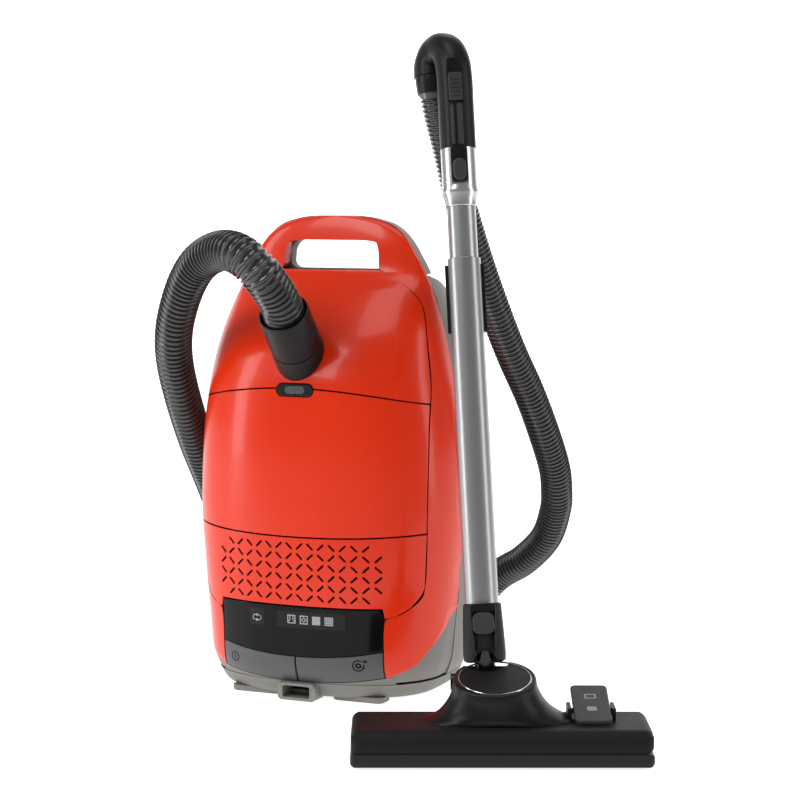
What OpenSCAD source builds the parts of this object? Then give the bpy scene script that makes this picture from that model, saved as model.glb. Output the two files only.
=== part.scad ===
// Canister vacuum cleaner standing upright, with its hose, telescopic wand and floorhead.
// Millimetres. Z is up, the lids face -Y, the casters face +Y, the feet rest on z = 0.

/* [Canister] */
// Wall thickness of the moulded shells
wall = 3; // [2.6:0.1:3.2]
// Gap round each lid
lid_gap = 0.6; // [0.5:0.1:0.8]
// Radius of the lid hinge pins
pin_r = 1.5; // [1.3:0.1:1.5]
// Radius of the cable drum
drum_r = 62; // [50:1:64]
// Radius of the caster wheels
wheel_r = 10; // [8:0.5:10]
// Depth the two floor keys are pressed
key_t = 5; // [4:0.5:6]

/* [Hose] */
// Outer radius of the hose at the connector
hose_r0 = 21.3; // [20:0.1:22]
// Outer radius of the hose at the handle
hose_r1 = 16; // [15:0.1:17]

/* [Wand] */
// Outer radius of the lower tube
tube_r = 16; // [15.6:0.1:16]
// Length of the inner tube that stays inside the lower tube
inner_len = 250; // [220:5:300]

/* [Floorhead] */
// Half the width of the floorhead
head_w = 140.5; // [136:0.5:142]
// Radius of the round badge recess on the hood
badge_r = 30; // [24:1:31]

/* [Hidden] */
$fn = 48;

yp = -20;
TA = [[0,112],[8,120],[20,127],[40,134],[72,137],[130,142.5],[200,147],[240,146],[276,143.5],[312,138.5],[350,132],[382,125],[412,116],[434,108],[455,98],[475,86],[490,68],[500,40],[503,8]];
TF = [[0,82],[8,90],[20,96],[40,103],[72,104],[130,105],[240,105],[325,102],[350,95],[375,83],[400,64],[425,40],[446,18],[477,12],[500,6],[503,5]];
TB = [[0,95],[8,110],[350,112],[380,108],[410,104],[425,90],[434,70],[440,25]];
TX = [[89,94],[121,128],[152,129.5],[183,131],[244,131.5],[318,129.5],[372,121],[400,114],[410,110],[421,102],[429,92],[441,70],[447,54]];
function fa(z) = lookup(z,TA);
function fb(z) = lookup(z,TF);
function fc(z) = lookup(z,TB);
function yf(x,z,o=0) = yp-(fb(z)-o)*pow(max(0,1-pow(min(1,abs(x)/(fa(z)-o)),2.5)),0.4);
function sp(v,e) = sign(v)*pow(abs(v),e);
function flat(a) = [for (r=a) for (p=r) p];
function cat(a,b,s) = [a[0]+(b[0]-a[0])*s,a[1]+(b[1]-a[1])*s];

// closed shell between an outer and an inner grid of points, rows upward, columns left to right
module grid_solid(O,I) {
  M = len(O); N = len(O[0]); K = M*N;
  polyhedron(points=concat(flat(O),flat(I)), faces=concat(
    [for (r=[0:M-2]) for (c=[0:N-2]) [r*N+c,(r+1)*N+c,(r+1)*N+c+1]],
    [for (r=[0:M-2]) for (c=[0:N-2]) [r*N+c,(r+1)*N+c+1,r*N+c+1]],
    [for (r=[0:M-2]) for (c=[0:N-2]) [K+r*N+c,K+(r+1)*N+c+1,K+(r+1)*N+c]],
    [for (r=[0:M-2]) for (c=[0:N-2]) [K+r*N+c,K+r*N+c+1,K+(r+1)*N+c+1]],
    [for (c=[0:N-2]) [c,c+1,K+c+1]], [for (c=[0:N-2]) [c,K+c+1,K+c]],
    [for (c=[0:N-2]) [(M-1)*N+c+1,(M-1)*N+c,K+(M-1)*N+c]], [for (c=[0:N-2]) [(M-1)*N+c+1,K+(M-1)*N+c,K+(M-1)*N+c+1]],
    [for (r=[0:M-2]) [(r+1)*N,r*N,K+r*N]], [for (r=[0:M-2]) [(r+1)*N,K+r*N,K+(r+1)*N]],
    [for (r=[0:M-2]) [r*N+N-1,(r+1)*N+N-1,K+(r+1)*N+N-1]], [for (r=[0:M-2]) [r*N+N-1,K+(r+1)*N+N-1,K+r*N+N-1]]));
}
// closed loft through rings of points that run anticlockwise seen from above
module loft(R) {
  M = len(R); N = len(R[0]);
  polyhedron(points=flat(R), faces=concat(
    [[for (c=[0:N-1]) c]], [[for (c=[N-1:-1:0]) (M-1)*N+c]],
    [for (r=[0:M-2]) for (c=[0:N-1]) [r*N+c,(r+1)*N+c,(r+1)*N+(c+1)%N]],
    [for (r=[0:M-2]) for (c=[0:N-1]) [r*N+c,(r+1)*N+(c+1)%N,r*N+(c+1)%N]]));
}
module rbox(x,y,z,r) {
  cube([x-2*r,y,z],center=true); cube([x,y-2*r,z],center=true);
  for (i=[-1,1]) for (j=[-1,1]) translate([i*(x/2-r),j*(y/2-r),0]) cylinder(r=r,h=z,center=true);
}
module xcyl(x0,x1,y,z,r) { translate([x0,y,z]) rotate([0,90,0]) cylinder(r=r,h=x1-x0); }
module ycyl(x,y0,y1,z,r) { translate([x,y0,z]) rotate([-90,0,0]) cylinder(r=r,h=y1-y0); }
module box(a,b) { translate(a) cube(b-a); }

// ---------- canister shells ----------
function tubpt(t,z,o) = [ (fa(z)-o)*sp(cos(t),2/3), yp+(fc(z)-o)*sp(sin(t),2/3), z ];
TZ = [20,40,72,130,200,276,350,382,412,425,434,440];
TT = [180,170,160,148,135,120,105,90,75,60,45,32,20,10,0];
screws = [[-70,60],[70,60],[-62,404],[62,404]];
module handle_half() {
  P = [[84,437],[96,441],[104,442],[94,460],[84,476],[70,490],[52,498],[30,502],[0,503]];
  H = [[54,447],[54,465],[50,475],[30,477]];
  translate([0,4,0]) rotate([90,0,0]) linear_extrude(height=24) difference() {
    polygon(concat([for (p=P) p],[for (i=[len(P)-2:-1:0]) [-P[i][0],P[i][1]]]));
    polygon(concat([for (p=H) p],[for (i=[3:-1:0]) [-H[i][0],H[i][1]]]));
  }
}
module base_tub() color("DarkGray") difference() {
  union() {
    grid_solid([for (z=TZ) [for (t=[for(i=[len(TT)-1:-1:0]) TT[i]]) tubpt(t,z,0)]],
               [for (z=TZ) [for (t=[for(i=[len(TT)-1:-1:0]) TT[i]]) tubpt(t,z,wall)]]);
    handle_half();
    ycyl(0,78,94,376,15);
    for (s=[-1,1]) ycyl(s*95,66,94,95,15);
    for (p=screws) ycyl(p[0],70,90.5,p[1],7);
    ycyl(0,-30,90,95,8);
    ycyl(0,74,90,95,24);
  }
  ycyl(0,80,95,376,5.1);
  for (s=[-1,1]) ycyl(s*95,80,95,95,5.1);
  for (p=screws) ycyl(p[0],69,91,p[1],2.1);
  box([-12,-21,436.6],[12,-15.5,444.5]);
  ycyl(-60,70,97,150,9.1);
}
function ring(z,o,zz) = [for (i=[0:39]) let(t=i*9, f=(sin(t)<0)) [ (fa(z)-o)*sp(cos(t),f?0.8:2/3), yp+((f?fb(z):fc(z))-o)*sp(sin(t),f?0.8:2/3), zz ]];
module base_skirt() color("Gray") {
  difference() {
    union() {
      loft([ring(4,0,4),ring(12,0,12),ring(20,0,19.6),ring(20,wall,19.6),ring(12,wall+1,8)]);
      for (s=[-1,1]) { box([s*59-29,-100,0],[s*59+29,-74,6]); box([s*65-25,50,0],[s*65+25,76,6]); }
      cylinder(r=16,h=6);
    }
    box([-18,-130,3],[18,-100,21]);
  }
  difference() {
    box([-21.4,-122,0.5],[21.4,-99,19.4]);
    box([-15.4,-123,4],[15.4,-98,16]);
  }
}
RI = [[93,22],[93,40],[93,70],[95,89],[108,95],[119,103],[126,113],[128,124],[131,183],[131.5,244],[129.5,318],[121,372],[114,400],[110,410],[102,421],[92,429],[70,441],[56,449],[54,465],[50,475],[30,477],[0,477]];
RO = [[127,22],[133.5,40],[137,70],[139,89],[140,97],[141,108],[141.5,118],[142,128],[146.5,183],[145.5,244],[137.5,318],[127.5,372],[120,400],[116,414],[111,427],[104,442],[94,460],[84,476],[70,490],[52,498],[30,502],[0,503]];
RS = [0,0.25,0.5,0.75,0.9,1];
// each row of the ring runs from the lid opening outward to the parting plane
function ringrow(k,s,o) = [for (r=RS) let(p=cat(RI[k],RO[k],r), q=(o>0 && k<17)?[p[0]-o*r,p[1]]:p)
   [s*q[0], (r==1)?yp:((o>0 && k>=17)?yp:yf(q[0],q[1],o)), q[1]]];
function ringall(o) = concat([for (k=[0:21]) ringrow(k,1,o)],[for (k=[20:-1:0]) ringrow(k,-1,o)]);
module hingebar(yb,z0,z1,py,pz,xe,yo,yi) {
  // bar across the opening, with two pairs of lugs and the pins between them
  translate([0,0,z0]) linear_extrude(height=z1-z0)
    polygon([[-xe,yo],[-128,yo-8],[-120,yb+25],[-110,yb+14],[-100,yb+6],[-80,yb],[80,yb],[100,yb+6],[110,yb+14],[120,yb+25],[128,yo-8],[xe,yo],
             [xe,yi],[126,yi-3],[120,yb+30],[110,yb+20],[100,yb+13],[80,yb+8],[-80,yb+8],[-100,yb+13],[-110,yb+20],[-120,yb+30],[-126,yi-3],[-xe,yi]]);
  for (s=[-1,1]) {
    for (x=[22,36.5]) box([min(s*x,s*(x+2.8)),py-1.7,pz-6],[max(s*x,s*(x+2.8)),yb+4,pz+3]);
    for (x=[22,36.5]) box([min(s*x,s*(x+2.8)),yb,min(z0+0.5,pz-6)],[max(s*x,s*(x+2.8)),yb+4,max(z1-0.5,pz)]);
    xcyl(min(s*23,s*38),max(s*23,s*38),py,pz,pin_r);
  }
}
module upper_housing() color("OrangeRed") difference() {
  union() {
    grid_solid(ringall(0),ringall(wall));
    hingebar(-98,311,319,-115.1,320.5,133,-52,-42);
    hingebar(-100,157,165,-118,166.5,136,-66,-56);
    hingebar(-100,80,90,-117.6,95,134,-60,-50);
    box([-18,-118.4,318],[18,-92,330]);
  }
  box([-15.5,-119,322.3],[15.5,-111,328.4]);
}
module compartment_floor() color("DimGray") translate([0,0,321]) linear_extrude(height=1.5)
  polygon(concat([for (i=[0:20]) let(t=i*9) [(fa(322)-4.5)*sp(cos(t),2/3), yp+(fc(322)-4.5)*sp(sin(t),2/3)]],
   [[-131,-40],[-122,-62],[-100,-84],[-80,-90],[80,-90],[100,-84],[122,-62],[131,-40]]));
module pre_motor_filter() color("White") difference() {
  union() { box([-100,-34,322.5],[10,56,326]); for (i=[0:9]) box([-97+i*10.5,-31,326],[-93+i*10.5,53,328.5]); }
  box([-80,-14,322],[-10,36,323.5]);
}
module bag_holder() color("SteelBlue") difference() {
  union() { box([-50,-74,322.6],[50,-71,392]); box([-50,-78,322.6],[50,-71,326]); ycyl(0,-80,-71,352,24); }
  ycyl(0,-81,-70,352,18);
}
module dust_bag() color("Gainsboro") difference() {
  union() { translate([0,-3,362]) rbox(172,126,60,22); translate([0,-3,362]) rbox(150,110,66,22); ycyl(0,-70.9,-60,352,24); }
  ycyl(0,-71.5,-50,352,18);
  translate([0,-3,362]) rbox(160,100,50,18);
}
// ---------- interior ----------
module accessory_tray() color("DimGray") {
  difference() {
    union() {
      box([-104,-78,181],[104,-75,306]);
      box([-100,-92,181],[100,-75,184]);
      box([-100,-90,303],[100,-75,306]);
      for (s=[-1,1]) box([s*103-1,-90,181],[s*103+1,-75,306]);
    }
    for (i=[-3:3]) ycyl(i*26,-80,-74,286,4);
  }
  for (x=[-72,-38,26,62]) box([x-1,-90,250],[x+1,-78,262]);
}
module crevice_tool() color("Black") difference() {
  union() { translate([-86,-91.2,184]) cylinder(r=13,h=26); translate([-86,-91.2,252]) rbox(16,19,90,7); translate([-86,-91.2,209]) cylinder(r1=13,r2=8,h=14); }
  translate([-86,-91.2,183]) cylinder(r=10.5,h=27);
  translate([-86,-91.2,252]) rbox(11,14,100,5);
}
module upholstery_nozzle() color("Black") difference() {
  union() { translate([-12,-94,194]) rbox(84,26,19.6,8); translate([-12,-94,202]) cylinder(r1=16,r2=13,h=14); translate([-12,-94,215]) cylinder(r=13,h=26); }
  translate([-12,-94,186]) rbox(76,18,10,5);
  translate([-12,-94,190]) cylinder(r=10.5,h=60);
}
module dusting_brush() color("Black") difference() {
  union() {
    translate([74,-94,200]) cylinder(r1=16,r2=13,h=12); translate([74,-94,211]) cylinder(r=13,h=26);
    for (a=[0:20:340]) translate([74+13.2*cos(a),-94+13.2*sin(a),185]) cylinder(r=1.6,h=16);
    translate([74,-94,197]) cylinder(r=16,h=4);
  }
  translate([74,-94,196]) cylinder(r=10.5,h=50);
}
module motor_housing() color("LightGray") translate([-45,12,0]) {
  difference() {
    union() { translate([0,0,190]) cylinder(r=60,h=110); translate([0,0,300]) cylinder(r=40,h=20.6); for (a=[30:120:270]) rotate([0,0,a]) box([52,-8,200],[66,8,212]); }
    translate([0,0,194]) cylinder(r=56,h=60);
    translate([0,0,262]) cylinder(r=56,h=35);
    translate([0,0,250]) cylinder(r=30,h=20);
    translate([0,0,280]) cylinder(r=34,h=50);
    translate([0,0,188]) cylinder(r=5.1,h=10);
    for (a=[0:30:330]) rotate([0,0,a]) translate([46,0,188]) cylinder(r=5,h=10);
  }
}
module motor_rotor() color("Silver") translate([-45,12,0]) {
  translate([0,0,188]) cylinder(r=5,h=104);
  translate([0,0,205]) cylinder(r=24,h=44);
  translate([0,0,266]) cylinder(r=50,h=2);
  translate([0,0,278]) difference() { cylinder(r=50,h=2); translate([0,0,-1]) cylinder(r=22,h=4); }
  for (a=[0:40:320]) rotate([0,0,a]) box([20,-1,267.5],[49,1,278.5]);
}
module cable_drum() color("Black") difference() {
  union() { ycyl(0,-24,-22,95,drum_r); ycyl(0,38,40,95,drum_r); ycyl(0,-24,40,95,30); ycyl(0,-18,34,95,48); ycyl(0,40,70,95,16); }
  ycyl(0,-40,80,95,8.1);
}
module exhaust_filter() color("White") {
  difference() { box([-86,-90,106],[86,-66,154]); box([-82,-91,110],[82,-65,150]); }
  for (i=[-9:9]) box([i*8.6-1.5,-88,110],[i*8.6+1.5,-68,150]);
}
module control_board() color("Green") { box([-78,-98,50],[78,-96.4,78]); for (i=[-3:3]) box([i*20-5,-103,58],[i*20+5,-98,68]); ycyl(60,-96.4,-84,64,8); }
module cord_outlet() color("Black") difference() {
  union() { ycyl(-60,84,92.2,150,9); ycyl(-60,91.4,94,150,11.5); }
  ycyl(-60,80,97,150,4.5);
}
module housing_screws() color("Silver") for (p=screws) {
  ycyl(p[0],60,90.5,p[1],1.95);
  difference() { ycyl(p[0],90.5,93.3,p[1],5); box([p[0]-3.5,92,p[1]-0.6],[p[0]+3.5,94,p[1]+0.6]); box([p[0]-0.6,92,p[1]-3.5],[p[0]+0.6,94,p[1]+3.5]); }
}
module capsule(r,y0,y1) { ycyl(-20.8+6.4,y0,y1,325.2,r); ycyl(20.8-6.4,y0,y1,325.2,r); box([-14.4,y0,325.2-r],[14.4,y1,325.2+r]); }
module indicator_lens() color("LightYellow") capsule(6.1,-121.7,-118.4);
module indicator_flag() color("Red") box([-14.5,-117.6,323],[-4,-112.5,327.7]);

// ---------- lids ----------
module gooseneck(py,pz,e=-4.2) {
  S = [[-1.2,0],[9,-2.2],[16,1.2],[16,10],[10,17.4],[0,19],[e,19],[e,15.8],[0,15.8],[8.6,13.4],[12.6,8.8],[12.6,3],[8.6,1],[0,1.6]];
  for (s=[-1,1]) difference() {
    union() {
      translate([min(s*26,s*36),py,pz]) rotate([90,0,90]) linear_extrude(height=10) polygon(S);
      xcyl(min(s*26,s*36),max(s*26,s*36),py,pz,2.75);
    }
    xcyl(min(s*25,s*37),max(s*25,s*37),py,pz,pin_r+0.07);
  }
}
function lidx(z) = lookup(z,TX);
SC = [-1,-0.9,-0.75,-0.55,-0.3,0,0.3,0.55,0.75,0.9,1];
// grid of a lid: rows at the edge heights ZR, arch a0 at the bottom fading to a1 at the top, d the inset of the inner skin
function lidgrid(ZR,a0,a1,g,o,d) = let(n=len(ZR)-1, zb=ZR[0], zt=ZR[n])
  [for (i=[0:n]) let(f=(ZR[i]-zb)/(zt-zb), zz=zb+d+(zt-zb-2*d)*f)
    [for (s=SC) let(x=s*(lidx(zz)-g-d), z=zz+(1-s*s)*(a0*(1-f)+a1*f)) [x,yf(x,z,o),z]]];
cb = [0,-110.5,363];
module conn() translate(cb) rotate([44.5,4.9,0]) children();
module dust_lid() color("OrangeRed") {
  ZR = [311+lid_gap,322,334,346,358,370,382,394,404,414,423,432,440,446];
  difference() {
    union() {
      difference() {
        grid_solid(lidgrid(ZR,16,0,lid_gap,0,0),lidgrid(ZR,16,0,lid_gap,wall,2.4));
        capsule(7.2,-130,-100);
        capsule(10.8,-121,-100);
      }
      gooseneck(-115.1,320.5,-0.4);
      conn() translate([0,0,-14]) cylinder(r=27,h=25.7);
      for (s=[-1,1]) box([s*17-1,-41,431],[s*17+1,-27,445]);
    }
    conn() translate([0,0,-30]) cylinder(r=19.1,h=50);
  }
}
module lid_latch() color("Black") {
  box([-15.5,-33,434],[15.5,-28,444]);
  box([-10,-28.5,437.6],[10,-17.5,439.6]);
  box([-15.5,-33,443.5],[15.5,-30,446.4]);
}
module accessory_lid() color("OrangeRed") {
  ZR = [178+lid_gap,195,220,244,270,295,311-lid_gap];
  difference() {
    grid_solid(lidgrid(ZR,-5,16,lid_gap,0,0),lidgrid(ZR,-5,16,lid_gap,wall,2.4));
    capsule(7.3,-130,-100);
    for (s=[-1,1]) box([s*31-5.7,-118.6,314],[s*31+5.7,-100,328]);
  }
  gooseneck(-118,166.5);
}
GX = [-1,-0.977,-0.914,-0.82,-0.742,-0.7275,-0.45,-0.2,0,0.2,0.45,0.7275,0.742,0.82,0.914,0.977,1];
TG = [[0,101],[93.4,101],[95.2,90.5],[105,93],[117,101],[125,112],[128,121]];
function grillegrid(g,o,d) = [for (f=[0,0.2,0.4,0.6,0.8,1]) [for (s=GX) let(x0=s*(128-g), x=s*(128-g-d+3*f), zb=lookup(abs(x0)+g,TG)+g+d, zt=173+5*s*s-g-d, z=zb+(zt-zb)*f) [x,yf(x,z,o),z]]];
module exhaust_grille() color("OrangeRed") difference() {
  union() {
    difference() {
      grid_solid(grillegrid(lid_gap,0,0),grillegrid(lid_gap,wall,2.4));
      for (s=[-1,1]) box([s*31-5.7,-121.4,158],[s*31+5.7,-100,176]);
    }
    gooseneck(-117.6,95);
  }
  for (i=[0:15]) for (k=[0:5]) if ((k>0 && k<5) || (i>0 && i<15)) translate([(i-7.5)*11.9,-98,137+(2.5-k)*10.7]) rotate([90,((i+k)%2==1)?-47:47,0]) linear_extrude(height=32) square([1.9,9.4],center=true);
}
function panelgrid(x0,x1,za,zb,zc,zd,o,dy) = [for (f=[0,0.5,1]) [for (s=[0:12]) let(x=x0+(x1-x0)*s/12, e=pow(abs(x)/91.5,2), z=(za+(zb-za)*e)*(1-f)+(zc+(zd-zc)*e)*f) [x,yf(x,z,o)+dy,z]]];
module control_panel() color("Black") difference() {
  grid_solid(panelgrid(-91.7,91.7,48.4,56.4,100.2,100.2,0.4,0),panelgrid(-91.7,91.7,48.4,56.4,100.2,100.2,0.4,2));
  box([-62,-131,74],[62,-123.4,92]);
}
module key_icon(x,z) difference() { ycyl(x,-130,-100,z,4.6); ycyl(x,-131,-90,z,3.4); }
module power_key() color("DimGray") difference() {
  grid_solid(panelgrid(-91.6,-0.8,20.4,28.4,47.6,55.6,0,0),panelgrid(-91.6,-0.8,20.4,28.4,47.6,55.6,0,key_t));
  difference() { key_icon(-72,41); grid_solid(panelgrid(-91.6,-0.8,19,27,49,57,0,0.5),panelgrid(-91.6,-0.8,19,27,49,57,0,9)); }
}
module rewind_key() color("DimGray") difference() {
  grid_solid(panelgrid(0.8,91.6,20.4,28.4,47.6,55.6,0,0),panelgrid(0.8,91.6,20.4,28.4,47.6,55.6,0,key_t));
  difference() { key_icon(72,41); grid_solid(panelgrid(0.8,91.6,19,27,49,57,0,0.5),panelgrid(0.8,91.6,19,27,49,57,0,9)); }
}

// ---------- hose connector ----------
module hose_connector() color("Black") conn() difference() {
  union() {
    translate([0,0,12]) cylinder(r1=26.6,r2=25.6,h=50);
    translate([0,0,-13]) cylinder(r=19,h=26);
  }
  translate([0,0,-14]) cylinder(r=15.5,h=80);
  for (s=[-1,1]) translate([s*24,0,35]) cube([9,15,19],center=true);
}
module connb(s) conn() translate([s*24.2,0,35]) { cube([4.6,14,18],center=true); translate([s*2.6,0,0]) cube([1.4,8,10],center=true); }
module connector_button_left() color("Black") connb(-1);
module connector_button_right() color("Black") connb(1);

// ---------- casters ----------
module fork() {
  ycyl(0,-12,0.5,0,5);
  ycyl(0,0.4,3.4,0,14);
  for (s=[-1,1]) { box([s*9.2-1.2,2.5,-5],[s*9.2+1.2,15,14]); ycyl(s*9.2,2.5,3,0,1); }
  xcyl(-9,9,14,6,2.2);
}
module wheel() difference() { xcyl(-7,7,14,6,wheel_r); xcyl(-8,8,14,6,2.3); xcyl(5.4,8,14,6,6.4); xcyl(-8,-5.4,14,6,6.4); }
module caster_fork_top() color("DimGray") translate([0,94,376]) fork();
module caster_wheel_top() color("Black") translate([0,94,376]) wheel();
module caster_fork_left() color("DimGray") translate([-95,94,95]) fork();
module caster_wheel_left() color("Black") translate([-95,94,95]) wheel();
module caster_fork_right() color("DimGray") translate([95,94,95]) fork();
module caster_wheel_right() color("Black") translate([95,94,95]) wheel();

// ---------- hose ----------
HP = [[-5,-128,380],[4,-154,407.2],[5,-172,425],[-2,-197,450],[-22,-198,466],[-53,-180,469],[-86,-160,458],[-111,-144,437],[-132,-128,407],[-147,-112,377],[-158,-90,345],[-165,-60,303],[-172,-20,255],[-177,15,218],[-182,53,176],
  [-187,88,135],[-189,118,95],[-182,145,60],[-163,167,35],[-130,182,22],[-90,188,20],[-40,192,20],[10,202,24],[55,212,48],[92,215,86],[129,203,109],[163,182,140],[184,155,176],[193,134,201],[198,112,230],[198,77,273],[193,48,315],[185,12,363],[177,-22,417],[171,-50,465],[165,-78,520],[159,-97,575],[154.2,-116.4,624.1],[148,-123,675]];
HR = [21.3,21.3,21.3,21.3,21.2,21,20.8,20.6,20.4,20.2,20,19.8,19.6,19.4,19.2,19.1,19,18.9,18.8,18.7,18.6,18.5,18.4,18.3,18.2,18,17.8,17.6,17.5,17.4,17.2,17,16.8,16.6,16.4,16.2,16.1,16,16];
function unit(v) = v/norm(v);
function cr(a,b,c,d,t) = 0.5*((2*b)+(c-a)*t+(2*a-5*b+4*c-d)*t*t+(3*b-a-3*c+d)*t*t*t);
hn = len(HP);
// two rings for each step of the route
HC = concat([for (i=[1:hn-3]) for (t=[0,0.5]) cr(HP[i-1],HP[i],HP[i+1],HP[i+2],t)],[HP[hn-2]]);
HRR = concat([for (i=[1:hn-3]) for (t=[0,0.5]) let(f=(HR[i]*(1-t)+HR[i+1]*t-16)/5.3) hose_r1+(hose_r0-hose_r1)*f],[hose_r1]);
hm = len(HC);
HT = [for (i=[0:hm-1]) (i==0)?[0.0608,-0.7009,0.7107]:((i==hm-1)?[-0.1134,0.1321,0.9847]:unit(HC[i+1]-HC[i-1]))];
function proj(u,t) = unit(u-(u*t)*t);
HU = [for (i=0,u=proj([1,0,0],HT[0]); i<hm; i=i+1, u=(i<hm)?proj(u,HT[i]):u) u];
function hring(i) = let(t=HT[i],u=HU[i],v=cross(t,u)) [for (k=[0:9]) HC[i]+HRR[i]*(cos(k*36)*u+sin(k*36)*v)];
// each length stops a hair short of its neighbour
module hose(a,b) loft([for (i=[a:b]) let(e=(i==a && a>0)?0.06:((i==b && b<hm-1)?-0.06:0)) [for (p=hring(i)) p+e*HT[i]]]);
module hose_front() color("Black") hose(0,10);
module hose_side() color("Black") hose(10,18);
module hose_back() color("Black") hose(18,46);
module hose_rise() color("Black") hose(46,64);
module hose_top() color("Black") hose(64,hm-1);

// ---------- wand ----------
module wand() translate([250,-217,80]) rotate([0,0,24]) rotate([-9.6,-2.9,0]) children();
module headf() translate([261.9,-211.7,0]) rotate([0,0,24]) children();
module elbow_socket() color("Black") difference() {
  union() {
    wand() cylinder(r1=20.3,r2=18.2,h=57);
    wand() translate([0,-14,31]) rbox(18,12,52,4);
    translate([250,-217,81]) cylinder(r=17,h=12);
  }
  wand() translate([0,0,25]) cylinder(r=tube_r+0.05,h=40);
  translate([250,-217,70]) cylinder(r=10.1,h=28);
  wand() translate([0,0,17]) cylinder(r=11,h=20);
  wand() translate([0,-20,40]) cube([12.6,8,22.6],center=true);
}
module elbow_button() color("Black") wand() translate([0,-19.4,40]) { cube([12,3.4,22],center=true); translate([0,-1.9,0]) cube([8,1,14],center=true); }
module lower_tube() color("Silver") wand() difference() {
  translate([0,0,25]) cylinder(r=tube_r,h=365);
  translate([0,0,24]) cylinder(r=14.06,h=367);
}
module tube_slider_housing() color("Black") wand() difference() {
  union() { translate([0,0,318]) cylinder(r=19,h=66); translate([0,16,351]) rbox(20,14,66,4); }
  translate([0,0,317]) cylinder(r=tube_r+0.03,h=68);
  box([-30,-30,316],[30,-1,386]);
  box([-6.3,20,328],[6.3,26,372]);
}
module tube_slider() color("DimGray") wand() { box([-6,20.3,332],[6,23,364]); box([-4.5,22.9,344],[4.5,25,352]); }
module upper_tube() color("Silver") wand() difference() {
  translate([0,0,450-inner_len]) cylinder(r=14,h=inner_len+46.9);
  translate([0,0,449-inner_len]) cylinder(r=12.6,h=inner_len+50);
}
module wand_collar() color("Silver") wand() difference() {
  union() { translate([0,0,448]) cylinder(r1=15,r2=17.2,h=8); translate([0,0,456]) cylinder(r=17.2,h=40.9); }
  translate([0,0,447]) cylinder(r=14.03,h=52);
  box([-8.2,-22,458],[8.2,-14.6,498]);
}
module collar_button() color("Black") wand() { box([-7.8,-19.6,459],[7.8,-17.2,496.6]); box([-5,-20.6,464],[5,-19.5,480]); }
HX = -19; HY = 38;
module handle() color("Black") wand() difference() {
  union() {
    translate([0,0,551]) rbox(32,34,108,13);
    translate([0,0,601]) cylinder(r=16.6,h=15);
    rotate([0,0,atan2(HY,HX)]) box([0,-15,584],[42,15,612]);
    translate([HX,HY,578]) cylinder(r=19,h=36);
  }
  translate([0,0,496]) cylinder(r=11.5,h=98);
  translate([HX,HY,577]) cylinder(r=12.1,h=20);
  box([-7.2,-18,541],[7.2,-14.4,584]);
}
module air_slider() color("DimGray") wand() { box([-6.8,-17.6,542],[6.8,-14.6,570]); for (i=[0:4]) box([-5,-18.6,547+i*4],[5,-17.5,549+i*4]); }
module hose_cuff() color("Black") wand() translate([HX,HY,0]) difference() {
  union() { translate([0,0,560]) cylinder(r1=17,r2=18.6,h=17.6); translate([0,0,577]) cylinder(r=12,h=17); }
  translate([0,0,559]) cylinder(r=9.5,h=40);
}

// ---------- floorhead ----------
module neck_swivel() color("Black") {
  translate([250,-217,62]) cylinder(r=10,h=33);
  headf() translate([-13,0,0]) { xcyl(-20,20,0,62,14); xcyl(-33,33,0,62,8); }
}
function hoodring(z,a,b,cx,cy,k) = [for (i=[0:31]) let(t=i*11.25,y=b*sp(sin(t),0.9)) [cx+a*sp(cos(t),0.9),cy+y,z+y*k]];
module floorhead_hood() color("Black") headf() difference() {
  union() {
    loft([hoodring(34.1,72,34,0,-38,0),hoodring(40,60,34,-1,-38,0.02),hoodring(48,49,34.5,-3,-37,0.08),hoodring(58,42,35,-4,-36,0.16),hoodring(67,38,35,-5,-35.5,0.24),hoodring(72,36,35,-5,-35,0.26),hoodring(73.2,34,33,-5,-35,0.26)]);
    for (s=[-1,1]) translate([-13,0,0]) { xcyl(min(s*23,s*32),max(s*23,s*32),0,62,14); box([min(s*23,s*32),-24,50],[max(s*23,s*32),2,72]); }
  }
  translate([-13,0,0]) { xcyl(-20.6,20.6,0,62,15); xcyl(-34,34,0,62,8.1); box([-20.6,-12,55],[20.6,30,100]); translate([0,0,74]) cylinder(r=23,h=30); }
  box([63,-46,30],[76,-14,52]);
  translate([-5,-35,73.2]) rotate([14.6,0,0]) difference() { translate([0,0,-1]) cylinder(r=badge_r,h=4); translate([0,0,-2]) cylinder(r=badge_r-1.6,h=6); }
}
module floorhead_body() color("Black") headf() difference() {
  union() {
    box([-head_w+4,-84,12],[head_w-4,0,34]);
    xcyl(-head_w+4,head_w-4,-82,23,11);
    for (s=[-1,1]) { box([s*(head_w-2.5)-2.5,-80,6],[s*(head_w-2.5)+2.5,-2,33]); xcyl(min(s*head_w,s*(head_w-5)),max(s*head_w,s*(head_w-5)),-80,22,11); }
    box([-head_w+3,-91,4],[head_w-3,-2,14]);
    box([63.4,-44,33],[67,-16,46]); box([105,-44,33],[108.6,-16,46]);
    for (s=[-1,1]) for (y=[-76,-36]) box([s*128-6,y-4,0],[s*128+6,y+4,5]);
  }
  box([-116,-66,3],[116,-34,30]);
  translate([-5,-40,28]) cylinder(r=20,h=10);
  for (y=[-84,-10.5]) box([-124,y-3,3],[124,y+3,24]);
  for (s=[-1,1]) box([s*60-6.5,-30,3],[s*60+6.5,-14,18]);
  xcyl(-68,68,-22,8,2.1);
  xcyl(62,110,-30,41,2.57);
}
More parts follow.
